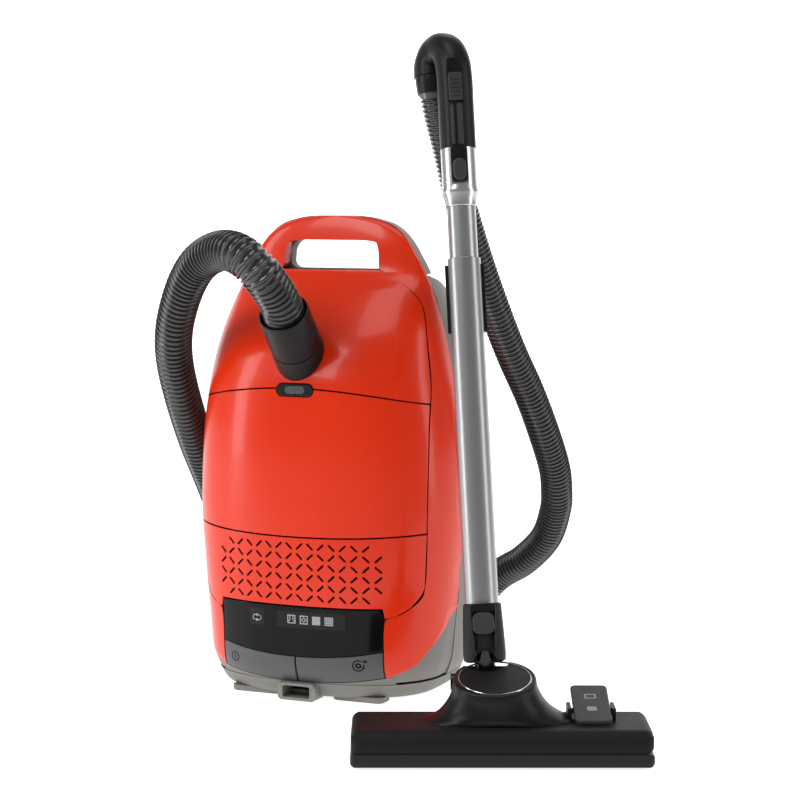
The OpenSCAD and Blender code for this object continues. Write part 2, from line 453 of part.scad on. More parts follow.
module footswitch() color("DimGray") headf() translate([86,0,0]) difference() {
  union() {
    translate([-17.5,0,0]) rotate([90,0,90]) linear_extrude(height=35) polygon([[-66,35.6],[-66,37.4],[-62,39],[4,57],[6,55.5],[6,50],[-24,37],[-36,36]]);
    xcyl(-22,22,-30,41,2.5);
  }
  for (y=[-40,-14]) translate([0,y,42+(y+50)*0.27+1.2]) rotate([15,0,0]) cube([12,9,1.6],center=true);
}
module brush_strips() color("DimGray") headf() {
  for (y=[-84,-10.5]) { box([-120,y-2.4,8],[120,y+2.4,16]); for (i=[-19:19]) box([i*6.2-1.8,y-1.4,1.5],[i*6.2+1.8,y+1.4,8.2]); }
}
module floor_rollers() color("DarkGray") headf() { xcyl(-67,67,-22,8,2); for (s=[-1,1]) xcyl(s*60-5,s*60+5,-22,8,8); }

base_tub();
base_skirt();
upper_housing();
compartment_floor();
pre_motor_filter();
bag_holder();
dust_bag();
accessory_tray();
crevice_tool();
upholstery_nozzle();
dusting_brush();
motor_housing();
motor_rotor();
cable_drum();
exhaust_filter();
control_panel();
control_board();
cord_outlet();
housing_screws();
indicator_lens();
indicator_flag();
dust_lid();
lid_latch();
accessory_lid();
exhaust_grille();
power_key();
rewind_key();
hose_connector();
connector_button_left();
connector_button_right();
caster_fork_top();
caster_wheel_top();
caster_fork_left();
caster_wheel_left();
caster_fork_right();
caster_wheel_right();
hose_front();
hose_side();
hose_back();
hose_rise();
hose_top();
elbow_socket();
elbow_button();
lower_tube();
tube_slider_housing();
tube_slider();
upper_tube();
wand_collar();
collar_button();
handle();
air_slider();
hose_cuff();
neck_swivel();
floorhead_body();
floorhead_hood();
footswitch();
brush_strips();
floor_rollers();
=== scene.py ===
import bpy, bmesh, math
from mathutils import Vector, Matrix


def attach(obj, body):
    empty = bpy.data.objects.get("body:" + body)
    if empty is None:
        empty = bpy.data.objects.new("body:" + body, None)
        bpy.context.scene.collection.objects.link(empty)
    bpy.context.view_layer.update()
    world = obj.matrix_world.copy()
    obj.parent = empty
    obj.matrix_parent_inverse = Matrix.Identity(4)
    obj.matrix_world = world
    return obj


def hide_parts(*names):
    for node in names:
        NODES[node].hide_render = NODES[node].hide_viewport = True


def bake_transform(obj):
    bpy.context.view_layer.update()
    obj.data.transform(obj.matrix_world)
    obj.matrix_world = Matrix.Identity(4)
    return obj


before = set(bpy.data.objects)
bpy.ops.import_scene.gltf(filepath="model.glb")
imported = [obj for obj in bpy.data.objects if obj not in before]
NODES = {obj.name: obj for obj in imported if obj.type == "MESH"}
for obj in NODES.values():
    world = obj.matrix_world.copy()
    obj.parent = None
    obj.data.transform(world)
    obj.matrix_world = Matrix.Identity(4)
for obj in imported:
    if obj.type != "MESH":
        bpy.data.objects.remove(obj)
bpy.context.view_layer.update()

MM = 0.001
sin, cos, pi = math.sin, math.cos, math.pi
rad = math.radians

# ------------------------------------------------------------------ camera, floor, light
cam = bpy.data.cameras.new("cam"); camo = bpy.data.objects.new("cam", cam)
bpy.context.scene.collection.objects.link(camo)
camo.location = (1.066, -2.2498, 0.5392)
tgt = Vector((0.0537, 0.0239, 0.3039))
camo.rotation_euler = (tgt - camo.location).to_track_quat("-Z", "Y").to_euler()
cam.lens = 104.6; cam.sensor_width = 36.0; cam.sensor_fit = "HORIZONTAL"
cam.clip_end = 50
cam.dof.use_dof = False
bpy.context.scene.camera = camo

# ------------------------------------------------------------------ helpers
def pchip(xs, ys):
    n = len(xs); h = [xs[i+1]-xs[i] for i in range(n-1)]; d = [(ys[i+1]-ys[i])/h[i] for i in range(n-1)]
    m = [0.0]*n; m[0] = d[0]; m[-1] = d[-1]
    for i in range(1, n-1):
        if d[i-1]*d[i] > 0:
            w1 = 2*h[i]+h[i-1]; w2 = h[i]+2*h[i-1]
            m[i] = (w1+w2)/(w1/d[i-1]+w2/d[i])
    def f(x):
        if x <= xs[0]: return ys[0]
        if x >= xs[-1]: return ys[-1]
        i = 0
        while x > xs[i+1]: i += 1
        t = (x-xs[i])/h[i]
        return (2*t**3-3*t*t+1)*ys[i]+(t**3-2*t*t+t)*h[i]*m[i]+(3*t*t-2*t**3)*ys[i+1]+(t**3-t*t)*h[i]*m[i+1]
    return f
def tab(T): return pchip([t[0] for t in T], [t[1] for t in T])
def sm(a, b, x):
    t = max(0.0, min(1.0, (x-a)/(b-a))); return t*t*(3-2*t)
def sgp(v, e): return math.copysign(abs(v)**e, v)

WAND = Matrix.Translation((250, -217, 80)) @ Matrix.Rotation(rad(24), 4, "Z") @ Matrix.Rotation(rad(-2.9), 4, "Y") @ Matrix.Rotation(rad(-9.6), 4, "X")
HEAD = Matrix.Translation((261.9, -211.7, 0)) @ Matrix.Rotation(rad(24), 4, "Z")
CONN = Matrix.Translation((0, -110.5, 363)) @ Matrix.Rotation(rad(4.9), 4, "Y") @ Matrix.Rotation(rad(44.5), 4, "X")
ID = Matrix.Identity(4)

def make(name, verts, faces, mat, body, reps=(), M=ID, bevel=0, segs=2, ang=35, sharp=40, slot=None, merge=1e-4):
    me = bpy.data.meshes.new(name)
    me.from_pydata([tuple((M @ Vector(v))*MM) for v in verts], [], faces)
    bm = bmesh.new(); bm.from_mesh(me)
    bmesh.ops.remove_doubles(bm, verts=bm.verts, dist=merge*MM*10)
    bmesh.ops.dissolve_degenerate(bm, edges=bm.edges, dist=1e-7)
    bmesh.ops.recalc_face_normals(bm, faces=bm.faces)
    if bevel > 0:
        es = [e for e in bm.edges if len(e.link_faces) == 2 and e.calc_face_angle(0) > rad(ang)]
        if es:
            bmesh.ops.bevel(bm, geom=es, offset=bevel*MM, segments=segs, profile=0.6, affect="EDGES", clamp_overlap=True)
    for f in bm.faces: f.smooth = True
    for e in bm.edges:
        if len(e.link_faces) == 2 and e.calc_face_angle(0) > rad(sharp): e.smooth = False
    bm.to_mesh(me); bm.free()
    ob = bpy.data.objects.new(name, me); bpy.context.scene.collection.objects.link(ob)
    me.materials.append(mat)
    if bevel > 0:
        wn = ob.modifiers.new("wn", "WEIGHTED_NORMAL"); wn.keep_sharp = True
    if body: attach(ob, body)
    if reps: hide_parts(*([reps] if isinstance(reps, str) else reps))
    return ob

def gridclosed(O, I):
    """closed shell from outer and inner point grids"""
    M_, N = len(O), len(O[0]); V = [p for r in O for p in r]+[p for r in I for p in r]; K = M_*N; F = []
    for r in range(M_-1):
        for c in range(N-1):
            F.append((r*N+c, r*N+c+1, (r+1)*N+c+1, (r+1)*N+c)); F.append((K+r*N+c, K+(r+1)*N+c, K+(r+1)*N+c+1, K+r*N+c+1))
    for c in range(N-1):
        F.append((c, K+c, K+c+1, c+1)); a = (M_-1)*N+c; F.append((a, a+1, K+a+1, K+a))
    for r in range(M_-1):
        a, b = r*N, (r+1)*N; F.append((a, b, K+b, K+a)); a += N-1; b += N-1; F.append((a, K+a, K+b, b))
    return V, F
def loft(R, cap0=True, cap1=True, close=True):
    V = [p for r in R for p in r]; N = len(R[0]); F = []
    for r in range(len(R)-1):
        for c in range(N if close else N-1):
            d = (c+1) % N; F.append((r*N+c, r*N+d, (r+1)*N+d, (r+1)*N+c))
    if cap0: F.append(tuple(range(N-1, -1, -1)))
    if cap1: F.append(tuple((len(R)-1)*N+c for c in range(N)))
    return V, F
def lathe(prof, n=48, x0=0, y0=0, closed=False):
    """profile of (r, z) pairs turned about z"""
    R = [[(x0+r*cos(2*pi*k/n), y0+r*sin(2*pi*k/n), z) for k in range(n)] for r, z in prof]
    if closed: R.append(R[0]); return loft(R, False, False)
    return loft(R)
def rrect(w, h, r, n=6):
    P = []
    for cx, cy, a0 in ((w/2-r, h/2-r, 0), (-w/2+r, h/2-r, 90), (-w/2+r, -h/2+r, 180), (w/2-r, -h/2+r, 270)):
        for i in range(n+1):
            a = rad(a0+90*i/n); P.append((cx+r*cos(a), cy+r*sin(a)))
    return P
def join(parts):
    V, F = [], []
    for v, f in parts:
        o = len(V); V += v; F += [tuple(i+o for i in q) for q in f]
    return V, F
def xf(M, vf): return [tuple(M @ Vector(v)) for v in vf[0]], vf[1]
def boxm(a, b):
    x0, y0, z0 = a; x1, y1, z1 = b
    return [(x0,y0,z0),(x1,y0,z0),(x1,y1,z0),(x0,y1,z0),(x0,y0,z1),(x1,y0,z1),(x1,y1,z1),(x0,y1,z1)], [(0,3,2,1),(4,5,6,7),(0,1,5,4),(1,2,6,5),(2,3,7,6),(3,0,4,7)]

# ------------------------------------------------------------------ materials
def material(name, color, rough=0.4, metal=0.0, coat=0.0, coat_rough=0.05, grain=0.0, grain_scale=900, var=0.04, var_scale=18, rvar=0.06, spec=0.5, aniso=None, sheen=0.0, alpha=1.0, edge_highlight=0.0, trans=0.0, bump_d=0.0002):
    m = bpy.data.materials.new(name); m.use_nodes = True
    nt = m.node_tree; N = nt.nodes; L = nt.links
    b = N["Principled BSDF"]
    b.inputs["Metallic"].default_value = metal
    b.inputs["Coat Weight"].default_value = coat
    b.inputs["Coat Roughness"].default_value = coat_rough
    b.inputs["Specular IOR Level"].default_value = spec
    b.inputs["Sheen Weight"].default_value = sheen
    if trans: b.inputs["Transmission Weight"].default_value = trans
    if alpha < 1: b.inputs["Alpha"].default_value = alpha
    tc = N.new("ShaderNodeTexCoord")
    n1 = N.new("ShaderNodeTexNoise"); n1.inputs["Scale"].default_value = var_scale; n1.inputs["Detail"].default_value = 4
    L.new(tc.outputs["Object"], n1.inputs["Vector"])
    mx = N.new("ShaderNodeMix"); mx.data_type = "RGBA"
    c = color
    mx.inputs[6].default_value = (c[0]*(1-var), c[1]*(1-var), c[2]*(1-var), 1)
    mx.inputs[7].default_value = (min(1, c[0]*(1+var)), min(1, c[1]*(1+var)), min(1, c[2]*(1+var)), 1)
    L.new(n1.outputs["Fac"], mx.inputs[0])
    last = mx.outputs[2]
    # painted highlight: the base colour is lightened on sharp convex edges (pointiness), standing in for light catching
    # edges and ridges
    if edge_highlight:
        g = N.new("ShaderNodeNewGeometry"); cr = N.new("ShaderNodeValToRGB")
        cr.color_ramp.elements[0].position = 0.52; cr.color_ramp.elements[0].color = (0, 0, 0, 1)
        cr.color_ramp.elements[1].position = 0.62; cr.color_ramp.elements[1].color = (1, 1, 1, 1)
        L.new(g.outputs["Pointiness"], cr.inputs["Fac"])
        m2 = N.new("ShaderNodeMix"); m2.data_type = "RGBA"
        ml = N.new("ShaderNodeMath"); ml.operation = "MULTIPLY"; ml.inputs[1].default_value = edge_highlight
        L.new(cr.outputs["Color"], ml.inputs[0]); L.new(ml.outputs[0], m2.inputs[0])
        L.new(last, m2.inputs[6]); m2.inputs[7].default_value = (min(1, c[0]*2+0.06), min(1, c[1]*2+0.06), min(1, c[2]*2+0.06), 1)
        last = m2.outputs[2]
    L.new(last, b.inputs["Base Color"])
    n2 = N.new("ShaderNodeTexNoise"); n2.inputs["Scale"].default_value = var_scale*6; n2.inputs["Detail"].default_value = 3
    L.new(tc.outputs["Object"], n2.inputs["Vector"])
    mr = N.new("ShaderNodeMapRange"); mr.inputs["To Min"].default_value = max(0.02, rough-rvar); mr.inputs["To Max"].default_value = rough+rvar
    L.new(n2.outputs["Fac"], mr.inputs["Value"]); L.new(mr.outputs["Result"], b.inputs["Roughness"])
    if grain > 0 or aniso:
        if aniso:
            mp = N.new("ShaderNodeMapping"); mp.inputs["Scale"].default_value = aniso
            L.new(tc.outputs["Object"], mp.inputs["Vector"])
            n3 = N.new("ShaderNodeTexNoise"); n3.inputs["Scale"].default_value = 1.0; n3.inputs["Detail"].default_value = 5
            L.new(mp.outputs["Vector"], n3.inputs["Vector"]); out = n3.outputs["Fac"]
        else:
            n3 = N.new("ShaderNodeTexVoronoi"); n3.feature = "SMOOTH_F1"; n3.inputs["Scale"].default_value = grain_scale
            L.new(tc.outputs["Object"], n3.inputs["Vector"]); out = n3.outputs["Distance"]
        bp = N.new("ShaderNodeBump"); bp.inputs["Strength"].default_value = grain; bp.inputs["Distance"].default_value = bump_d
        L.new(out, bp.inputs["Height"]); L.new(bp.outputs["Normal"], b.inputs["Normal"])
    return m

ORANGE = material("orange_gloss", (0.72, 0.027, 0.0013), rough=0.30, coat=0.25, coat_rough=0.10, grain=0.02, grain_scale=500, var=0.03, var_scale=9, rvar=0.03, spec=0.22)
ORANGE_IN = material("orange_inside", (0.30, 0.022, 0.006), rough=0.55, grain=0.2, grain_scale=700)
GREY = material("grey_shell", (0.185, 0.180, 0.165), rough=0.46, grain=0.25, grain_scale=1100, var=0.05, edge_highlight=0.05, spec=0.3)
GREYD = material("grey_base", (0.185, 0.180, 0.163), rough=0.5, grain=0.3, grain_scale=1100, var=0.06, edge_highlight=0.08, spec=0.3)
KEYM = material("key_grey", (0.070, 0.070, 0.072), rough=0.34, coat=0.12, coat_rough=0.2, grain=0.1, grain_scale=900, var=0.04, edge_highlight=0.2, spec=0.4)
PANEL = material("panel_black", (0.003, 0.003, 0.0032), rough=0.16, coat=0.05, coat_rough=0.05, var=0.1, rvar=0.03, spec=0.12)
PANEL2 = material("panel_window", (0.010, 0.010, 0.0105), rough=0.26, coat=0.05, coat_rough=0.08, var=0.1, spec=0.15)
ICON = material("icon_print", (0.42, 0.42, 0.43), rough=0.5, var=0.05)
ICOND = material("icon_dark", (0.002, 0.002, 0.002), rough=0.7, var=0.05, spec=0.05)
BLACK = material("black_satin", (0.0075, 0.0075, 0.0078), rough=0.36, grain=0.10, grain_scale=1400, var=0.08, edge_highlight=0.03, spec=0.2)
BLACKM = material("black_matte", (0.011, 0.011, 0.0113), rough=0.5, grain=0.35, grain_scale=1500, var=0.08, edge_highlight=0.03, spec=0.2)
BLACKG = material("black_gloss", (0.008, 0.008, 0.0085), rough=0.22, coat=0.3, coat_rough=0.1, grain=0.03, grain_scale=900, var=0.08, spec=0.3)
SOFTG = material("grip_grey", (0.040, 0.040, 0.041), rough=0.42, grain=0.3, grain_scale=1500, var=0.06, spec=0.35)
# the strong edge lightening here paints bright highlights on the hose rib ridges (painted highlight)
HOSEM = material("hose_black", (0.014, 0.014, 0.0145), rough=0.24, grain=0.05, grain_scale=700, var=0.12, edge_highlight=1.0, spec=0.75)
STEEL = material("brushed_tube", (0.38, 0.38, 0.385), rough=0.34, metal=0.88, grain=0.0, var=0.02, var_scale=6, rvar=0.02)
STEELD = material("dark_tube", (0.42, 0.42, 0.425), rough=0.32, metal=0.88, grain=0.0, var=0.02, var_scale=6, rvar=0.02)
CHROME = material("collar_metal", (0.60, 0.60, 0.61), rough=0.27, metal=0.92, grain=0.0, var=0.02, var_scale=8, rvar=0.02)
RUBBER = material("rubber", (0.02, 0.02, 0.02), rough=0.7, grain=0.5, grain_scale=900, var=0.1)
BRISTLE = material("bristle", (0.05, 0.05, 0.052), rough=0.8, grain=0.6, grain_scale=1600, var=0.2)
FELT = material("filter_fleece", (0.72, 0.72, 0.69), rough=0.9, grain=0.8, grain_scale=600, var=0.08, sheen=0.3)
BAGM = material("bag_fleece", (0.80, 0.79, 0.75), rough=0.9, grain=0.8, grain_scale=450, var=0.08, sheen=0.4)
DARKP = material("inner_plastic", (0.06, 0.06, 0.062), rough=0.55, grain=0.3, grain_scale=900, var=0.08)
MIDP = material("inner_grey", (0.26, 0.26, 0.265), rough=0.5, grain=0.3, grain_scale=900, var=0.06)
BLUEP = material("bag_holder_blue", (0.05, 0.16, 0.36), rough=0.45, grain=0.25, grain_scale=900)
GREENP = material("board_green", (0.02, 0.14, 0.06), rough=0.35, coat=0.4, grain=0.1, grain_scale=500)
REDP = material("flag_red", (0.55, 0.02, 0.015), rough=0.4, grain=0.1)
ALU = material("cast_aluminium", (0.60, 0.60, 0.61), rough=0.38, metal=1.0, grain=0.3, grain_scale=800)
LENS = material("smoked_lens", (0.10, 0.10, 0.10), rough=0.12, coat=0.6, coat_rough=0.04, var=0.06, alpha=0.82)
FLOORM = material("floor_pale", (0.86, 0.86, 0.86), rough=0.55, var=0.01, grain=0.03, grain_scale=300)

# ------------------------------------------------------------------ floor and light
def floorpiece(name, d0, d1, m):
    a = rad(24); f, r = Vector((-sin(a), cos(a), 0)), Vector((cos(a), sin(a), 0))
    q = [f*d+r*w for d, w in ((d0, -9), (d0, 9), (d1, 9), (d1, -9))]
    me = bpy.data.meshes.new(name); me.from_pydata([(p.x, p.y, -0.0005) for p in q], [], [(0, 1, 2, 3)])
    o = bpy.data.objects.new(name, me); bpy.context.scene.collection.objects.link(o); me.materials.append(m); return o
FLOORN = material("floor_near", (0.80, 0.80, 0.80), rough=0.6, var=0.01, grain=0.03, grain_scale=300)
floorpiece("floor", -0.80, 12, FLOORM); floorpiece("floor_near", -8, -0.80, FLOORN)
wd = bpy.data.worlds.new("world"); bpy.context.scene.world = wd; wd.use_nodes = True
wd.node_tree.nodes["Background"].inputs[0].default_value = (1, 1, 1, 1); wd.node_tree.nodes["Background"].inputs[1].default_value = 0.24
bpy.context.scene.view_settings.view_transform = "Standard"
def area(name, loc, at, sx, sy, power):
    l = bpy.data.lights.new(name, "AREA"); l.shape = "RECTANGLE"; l.size = sx; l.size_y = sy; l.energy = power
    o = bpy.data.objects.new(name, l); bpy.context.scene.collection.objects.link(o); o.location = loc
    o.rotation_euler = (Vector(at)-Vector(loc)).to_track_quat("-Z", "Y").to_euler(); return o
bd = bpy.data.materials.new("backdrop_white"); bd.use_nodes = True
bb = bd.node_tree.nodes["Principled BSDF"]; bb.inputs["Base Color"].default_value = (0.9, 0.9, 0.9, 1); bb.inputs["Roughness"].default_value = 0.9
bb.inputs["Emission Color"].default_value = (1, 1, 1, 1); bb.inputs["Emission Strength"].default_value = 1.0
me = bpy.data.meshes.new("backdrop"); me.from_pydata([(-9, 4.0, -0.01), (5.5, 9.0, -0.01), (5.5, 9.0, 8), (-9, 4.0, 8)], [], [(0, 1, 2, 3)])
bk = bpy.data.objects.new("backdrop", me); bpy.context.scene.collection.objects.link(bk); me.materials.append(bd)
fb_ = FLOORM.node_tree.nodes["Principled BSDF"]; fb_.inputs["Emission Color"].default_value = (1, 1, 1, 1); fb_.inputs["Emission Strength"].default_value = 0.80
area("key_left", (-1.9, -1.3, 0.9), (0, 0, 0.28), 0.5, 1.8, 17)
area("fill_right", (2.3, 0.1, 0.9), (0.1, 0, 0.3), 0.5, 2.0, 11)
area("top", (0.3, -0.6, 2.6), (0.1, 0, 0.2), 1.4, 1.2, 15)
area("front", (-1.0, -2.4, 2.4), (0.1, 0, 0.3), 1.2, 1.2, 32)

# ------------------------------------------------------------------ hose
HP = [(-5,-128,380),(4,-154,407.2),(5,-172,425),(-2,-197,450),(-22,-198,466),(-53,-180,469),(-86,-160,458),(-111,-144,437),(-132,-128,407),(-147,-112,377),(-158,-90,345),(-165,-60,303),(-172,-20,255),(-177,15,218),(-182,53,176),
  (-187,88,135),(-189,118,95),(-182,145,60),(-163,167,35),(-130,182,22),(-90,188,20),(-40,192,20),(10,202,24),(55,212,48),(92,215,86),(129,203,109),(163,182,140),(184,155,176),(193,134,201),(198,112,230),(198,77,273),(193,48,315),(185,12,363),(177,-22,417),(171,-50,465),(165,-78,520),(159,-97,575),(154.2,-116.4,624.1),(148,-123,675)]
HR = [21.3,21.3,21.3,21.3,21.2,21,20.8,20.6,20.4,20.2,20,19.8,19.6,19.4,19.2,19.1,19,18.9,18.8,18.7,18.6,18.5,18.4,18.3,18.2,18,17.8,17.6,17.5,17.4,17.2,17,16.8,16.6,16.4,16.2,16.1,16,16]
def crp(a, b, c, d, t): return 0.5*((2*b)+(c-a)*t+(2*a-5*b+4*c-d)*t*t+(3*b-a-3*c+d)*t*t*t)
HV = [Vector(p) for p in HP]
DEN = 24
hc, hr_, hk = [], [], []
for i in range(1, len(HP)-2):
    for j in range(DEN):
        t = j/DEN; hc.append(crp(HV[i-1], HV[i], HV[i+1], HV[i+2], t)); hr_.append(HR[i]*(1-t)+HR[i+1]*t); hk.append(i-1+t)
hc.append(HV[-2]); hr_.append(16.0); hk.append(len(HP)-3.0)
hs = [0.0]
for i in range(1, len(hc)): hs.append(hs[-1]+(hc[i]-hc[i-1]).length)
def at_s(s):
    lo, hi = 0, len(hs)-1
    while hi-lo > 1:
        m = (lo+hi)//2
        if hs[m] <= s: lo = m
        else: hi = m
    t = (s-hs[lo])/max(1e-9, hs[hi]-hs[lo]); t = max(0, min(1, t))
    return hc[lo].lerp(hc[hi], t), hr_[lo]*(1-t)+hr_[hi]*t, hk[lo]*(1-t)+hk[hi]*t
TOT = hs[-1]
# rib pitch shrinks with the hose
stations = []   # (s, radial offset)
s = 0.0
PH = [(0.0, 0.0), (0.09, 0.10), (0.18, 0.62), (0.27, 1.0), (0.5, 1.06), (0.73, 1.0), (0.82, 0.62), (0.91, 0.10)]
pidx = 0; starts = []
while s < TOT:
    p, r, k = at_s(s); pitch = 0.305*r
    if s+pitch*1.5 > TOT: pitch = TOT-s
    for f, dpt in PH: stations.append((s+f*pitch, dpt))
    starts.append(len(stations)-len(PH)); s += pitch
stations.append((TOT, 0.0))
NS = 36
T = []
for i, (s, dpt) in enumerate(stations):
    a, _, _ = at_s(max(0, s-2.0)); b, _, _ = at_s(min(TOT, s+2.0)); T.append((b-a).normalized())
T[0] = Vector((0.0609, -0.7009, 0.7107)); T[-1] = Vector((-0.1134, 0.1321, 0.9847))
U = []; u = Vector((1, 0, 0))
for t in T:
    u = (u-u.dot(t)*t).normalized(); U.append(u)
RINGS, CEN, KK = [], [], []
for i, (s, dpt) in enumerate(stations):
    c, r, k = at_s(s); v = T[i].cross(U[i]); rr = r-0.05-2.9*dpt*(r/21.0)
    RINGS.append([tuple(c+rr*(cos(2*pi*q/NS)*U[i]+sin(2*pi*q/NS)*v)) for q in range(NS)]); CEN.append(c); KK.append(k)
def kindex(k):
    b = min(starts, key=lambda q: abs(KK[q]-k)); return b
# sections: front on the lid, back on the canister, rise on the wand top
ka, kb = kindex(15.2), kindex(26.6)
def hosepiece(name, a, b, reps, ra, rb):
    V, F = loft(RINGS[a:b+1])
    ob = make(name, V, F, HOSEM, None, (), merge=1e-7, sharp=70)
    if ra == rb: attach(ob, ra)
    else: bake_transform(ob)
    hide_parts(*reps)
    return ob
hA = hosepiece("suction_hose_front", 0, ka, ["hose_front", "hose_side"], "lid", "canister")
hB = hosepiece("suction_hose_back", ka, kb, ["hose_back"], "canister", "wand")
hC = hosepiece("suction_hose_rise", kb, len(RINGS)-1, ["hose_rise", "hose_top"], "wand", "wand_top")

WX = (-54.0, -36.0, 78.0, 95.4, -20.5, 56.0)
CYC = (-45.0, 85.5); SQX = (-3.6, 10.6, 24.6, 38.6); SQZ = 87.0
PWR = (-75.7, 39.9); CRD = (68.5, 42.0)
MIDP2 = material("bracket_grey", (0.21, 0.205, 0.188), rough=0.42, grain=0.2, grain_scale=1100, var=0.05, edge_highlight=0.1, spec=0.3)
# near-black, non-reflective material for the sheet behind the grille slots: painted shade
SLOT_SHADE = material("grille_slot_shade", (0.004, 0.004, 0.004), rough=0.9, grain=0.4, grain_scale=2500, var=0.2, spec=0.05)
HEADM = material("head_black", (0.013, 0.013, 0.0133), rough=0.55, grain=0.25, grain_scale=1400, var=0.06, spec=0.10)
RINGM = material("badge_ring", (0.55, 0.55, 0.56), rough=0.2, metal=1.0, grain=0.05, aniso=(300, 300, 20), bump_d=0.00005)
PEDM = material("pedal_black", (0.020, 0.020, 0.021), rough=0.42, grain=0.2, grain_scale=1300, var=0.06, spec=0.35)
SOFTG2 = material("print_grey", (0.30, 0.30, 0.31), rough=0.5, var=0.05)
# ------------------------------------------------------------------ shape of the canister
YP, WALL, GAP = -20.0, 3.0, 0.6
TA = [[0,112],[8,120],[20,127],[40,134],[72,137],[130,142.5],[200,147],[240,146],[276,143.5],[312,138.5],[350,132],[382,125],[412,116],[434,108],[455,98],[475,86],[490,68],[500,40],[503,8]]
TF = [[0,82],[8,90],[20,96],[40,103],[72,104],[130,105],[240,105],[325,102],[350,95],[375,83],[400,64],[425,40],[446,18],[477,12],[500,6],[503,5]]
TB = [[0,95],[8,110],[350,112],[380,108],[410,104],[425,90],[434,70],[440,25]]
TX = [[89,94],[121,128],[152,129.5],[183,131],[244,131.5],[318,129.5],[372,121],[400,114],[410,110],[421,102],[429,92],[441,70],[447,54]]
fa, fb, fc, lidx = tab(TA), tab(TF), tab(TB), tab(TX)
def yf(x, z, o=0.0): return YP-(fb(z)-o)*max(0.0, 1-min(1.0, abs(x)/(fa(z)-o))**2.5)**0.4

def finish_mesh(ob, bevel=0, segs=2, ang=35, sharp=38, wn=True):
    me = ob.data; bm = bmesh.new(); bm.from_mesh(me)
    if bevel > 0:
        es = [e for e in bm.edges if len(e.link_faces) == 2 and e.calc_face_angle(0) > rad(ang)]
        if es: bmesh.ops.bevel(bm, geom=es, offset=bevel*MM, segments=segs, profile=0.6, affect="EDGES", clamp_overlap=True)
    for f in bm.faces: f.smooth = True
    for e in bm.edges: e.smooth = not (len(e.link_faces) == 2 and e.calc_face_angle(0) > rad(sharp))
    bm.to_mesh(me); bm.free()
    if wn:
        w = ob.modifiers.new("wn", "WEIGHTED_NORMAL"); w.keep_sharp = True
def cutmesh(ob, cuts):
    V, F = join(cuts)
    me = bpy.data.meshes.new("cutter"); me.from_pydata([tuple(Vector(v)*MM) for v in V], [], F)
    bm = bmesh.new(); bm.from_mesh(me); bmesh.ops.remove_doubles(bm, verts=bm.verts, dist=1e-7); bmesh.ops.recalc_face_normals(bm, faces=bm.faces); bm.to_mesh(me); bm.free()
    co = bpy.data.objects.new("cutter", me); bpy.context.scene.collection.objects.link(co)
    ob.modifiers.clear()
    md = ob.modifiers.new("cut", "BOOLEAN"); md.operation = "DIFFERENCE"; md.solver = "EXACT"; md.object = co
    bpy.context.view_layer.update()
    new = bpy.data.meshes.new_from_object(ob.evaluated_get(bpy.context.evaluated_depsgraph_get()))
    ob.modifiers.clear(); old = ob.data; ob.data = new; new.name = ob.name
    bpy.data.meshes.remove(old); bpy.data.objects.remove(co); bpy.data.meshes.remove(me)
def piece(name, vf, mat, body, reps=(), M=ID, cuts=(), bevel=0, segs=2, ang=35, sharp=38, bevel_after=False, one_by_one=False):
    ob = make(name, vf[0], vf[1], mat, None, (), M=M, bevel=0 if bevel_after else bevel, segs=segs, ang=ang, sharp=sharp)
    if one_by_one:
        for c in cuts: cutmesh(ob, [c])
    elif cuts: cutmesh(ob, cuts)
    finish_mesh(ob, bevel if bevel_after else 0, segs, ang, sharp)
    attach(ob, body)
    if reps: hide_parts(*([reps] if isinstance(reps, str) else reps))
    return ob
def ycyl(x, y0, y1, z, r, n=40, r2=None):
    r2 = r if r2 is None else r2
    R = [[(x+q*cos(2*pi*k/n), y, z+q*sin(2*pi*k/n)) for k in range(n)] for y, q in ((y0, r), (y1, r2))]
    return loft(R)
def xcyl(x0, x1, y, z, r, n=40):
    R = [[(x, y+r*cos(2*pi*k/n), z+r*sin(2*pi*k/n)) for k in range(n)] for x in (x0, x1)]
    return loft(R)
def capsule(r, y0, y1, n=14):
    P = [(14.4+r*cos(a), 325.2+r*sin(a)) for a in [-pi/2+pi*k/n for k in range(n+1)]]+[(-14.4+r*cos(a), 325.2+r*sin(a)) for a in [pi/2+pi*k/n for k in range(n+1)]]
    return loft([[(x, y, z) for x, z in P] for y in (y0, y1)])
def frange(a, b, n): return [a+(b-a)*i/n for i in range(n+1)]
def plate(w, h, r, prof, M=ID, n=6):
    """rounded plate in the x-y plane; prof holds (inset, z)"""
    return xf(M, loft([[(x, y, z) for x, y in rrect(w-2*i, h-2*i, max(0.3, r-i), n)] for i, z in prof]))

# back shell with its half of the carrying handle and the caster bosses
def tub(t, z, o): return ((fa(z)-o)*sgp(cos(t), 2/3), YP+(fc(z)-o)*sgp(max(0, sin(t)), 2/3), z)
TT = [pi*(0.5-0.5*math.copysign(abs(1-2*k/72)**0.8, 1-2*k/72)) for k in range(73)]
ZT = frange(20, 400, 48)+[404, 408, 412, 416, 420, 424, 427, 430, 433, 435, 437, 438.5, 439.5, 440]
O = [[tub(t, z, 0) for t in TT] for z in ZT]; I = [[tub(t, z, WALL) for t in TT] for z in ZT]
outl = [(0,437),(40,437),(84,437),(96,441),(104,442),(99.5,451),(94,460),(89.5,468),(84,476),(77.5,483.5),(70,490),(61.5,495),(52,498),(41,500.6),(30,502),(15,502.8),(0,503)]
inl = [(0,447),(26,447),(44,447),(51,449),(54,454),(54,459),(54,463),(53.2,467),(51.5,470.5),(49,473.2),(45.5,475.4),(41,476.5),(36,477),(30,477),(20,477),(10,477),(0,477)]
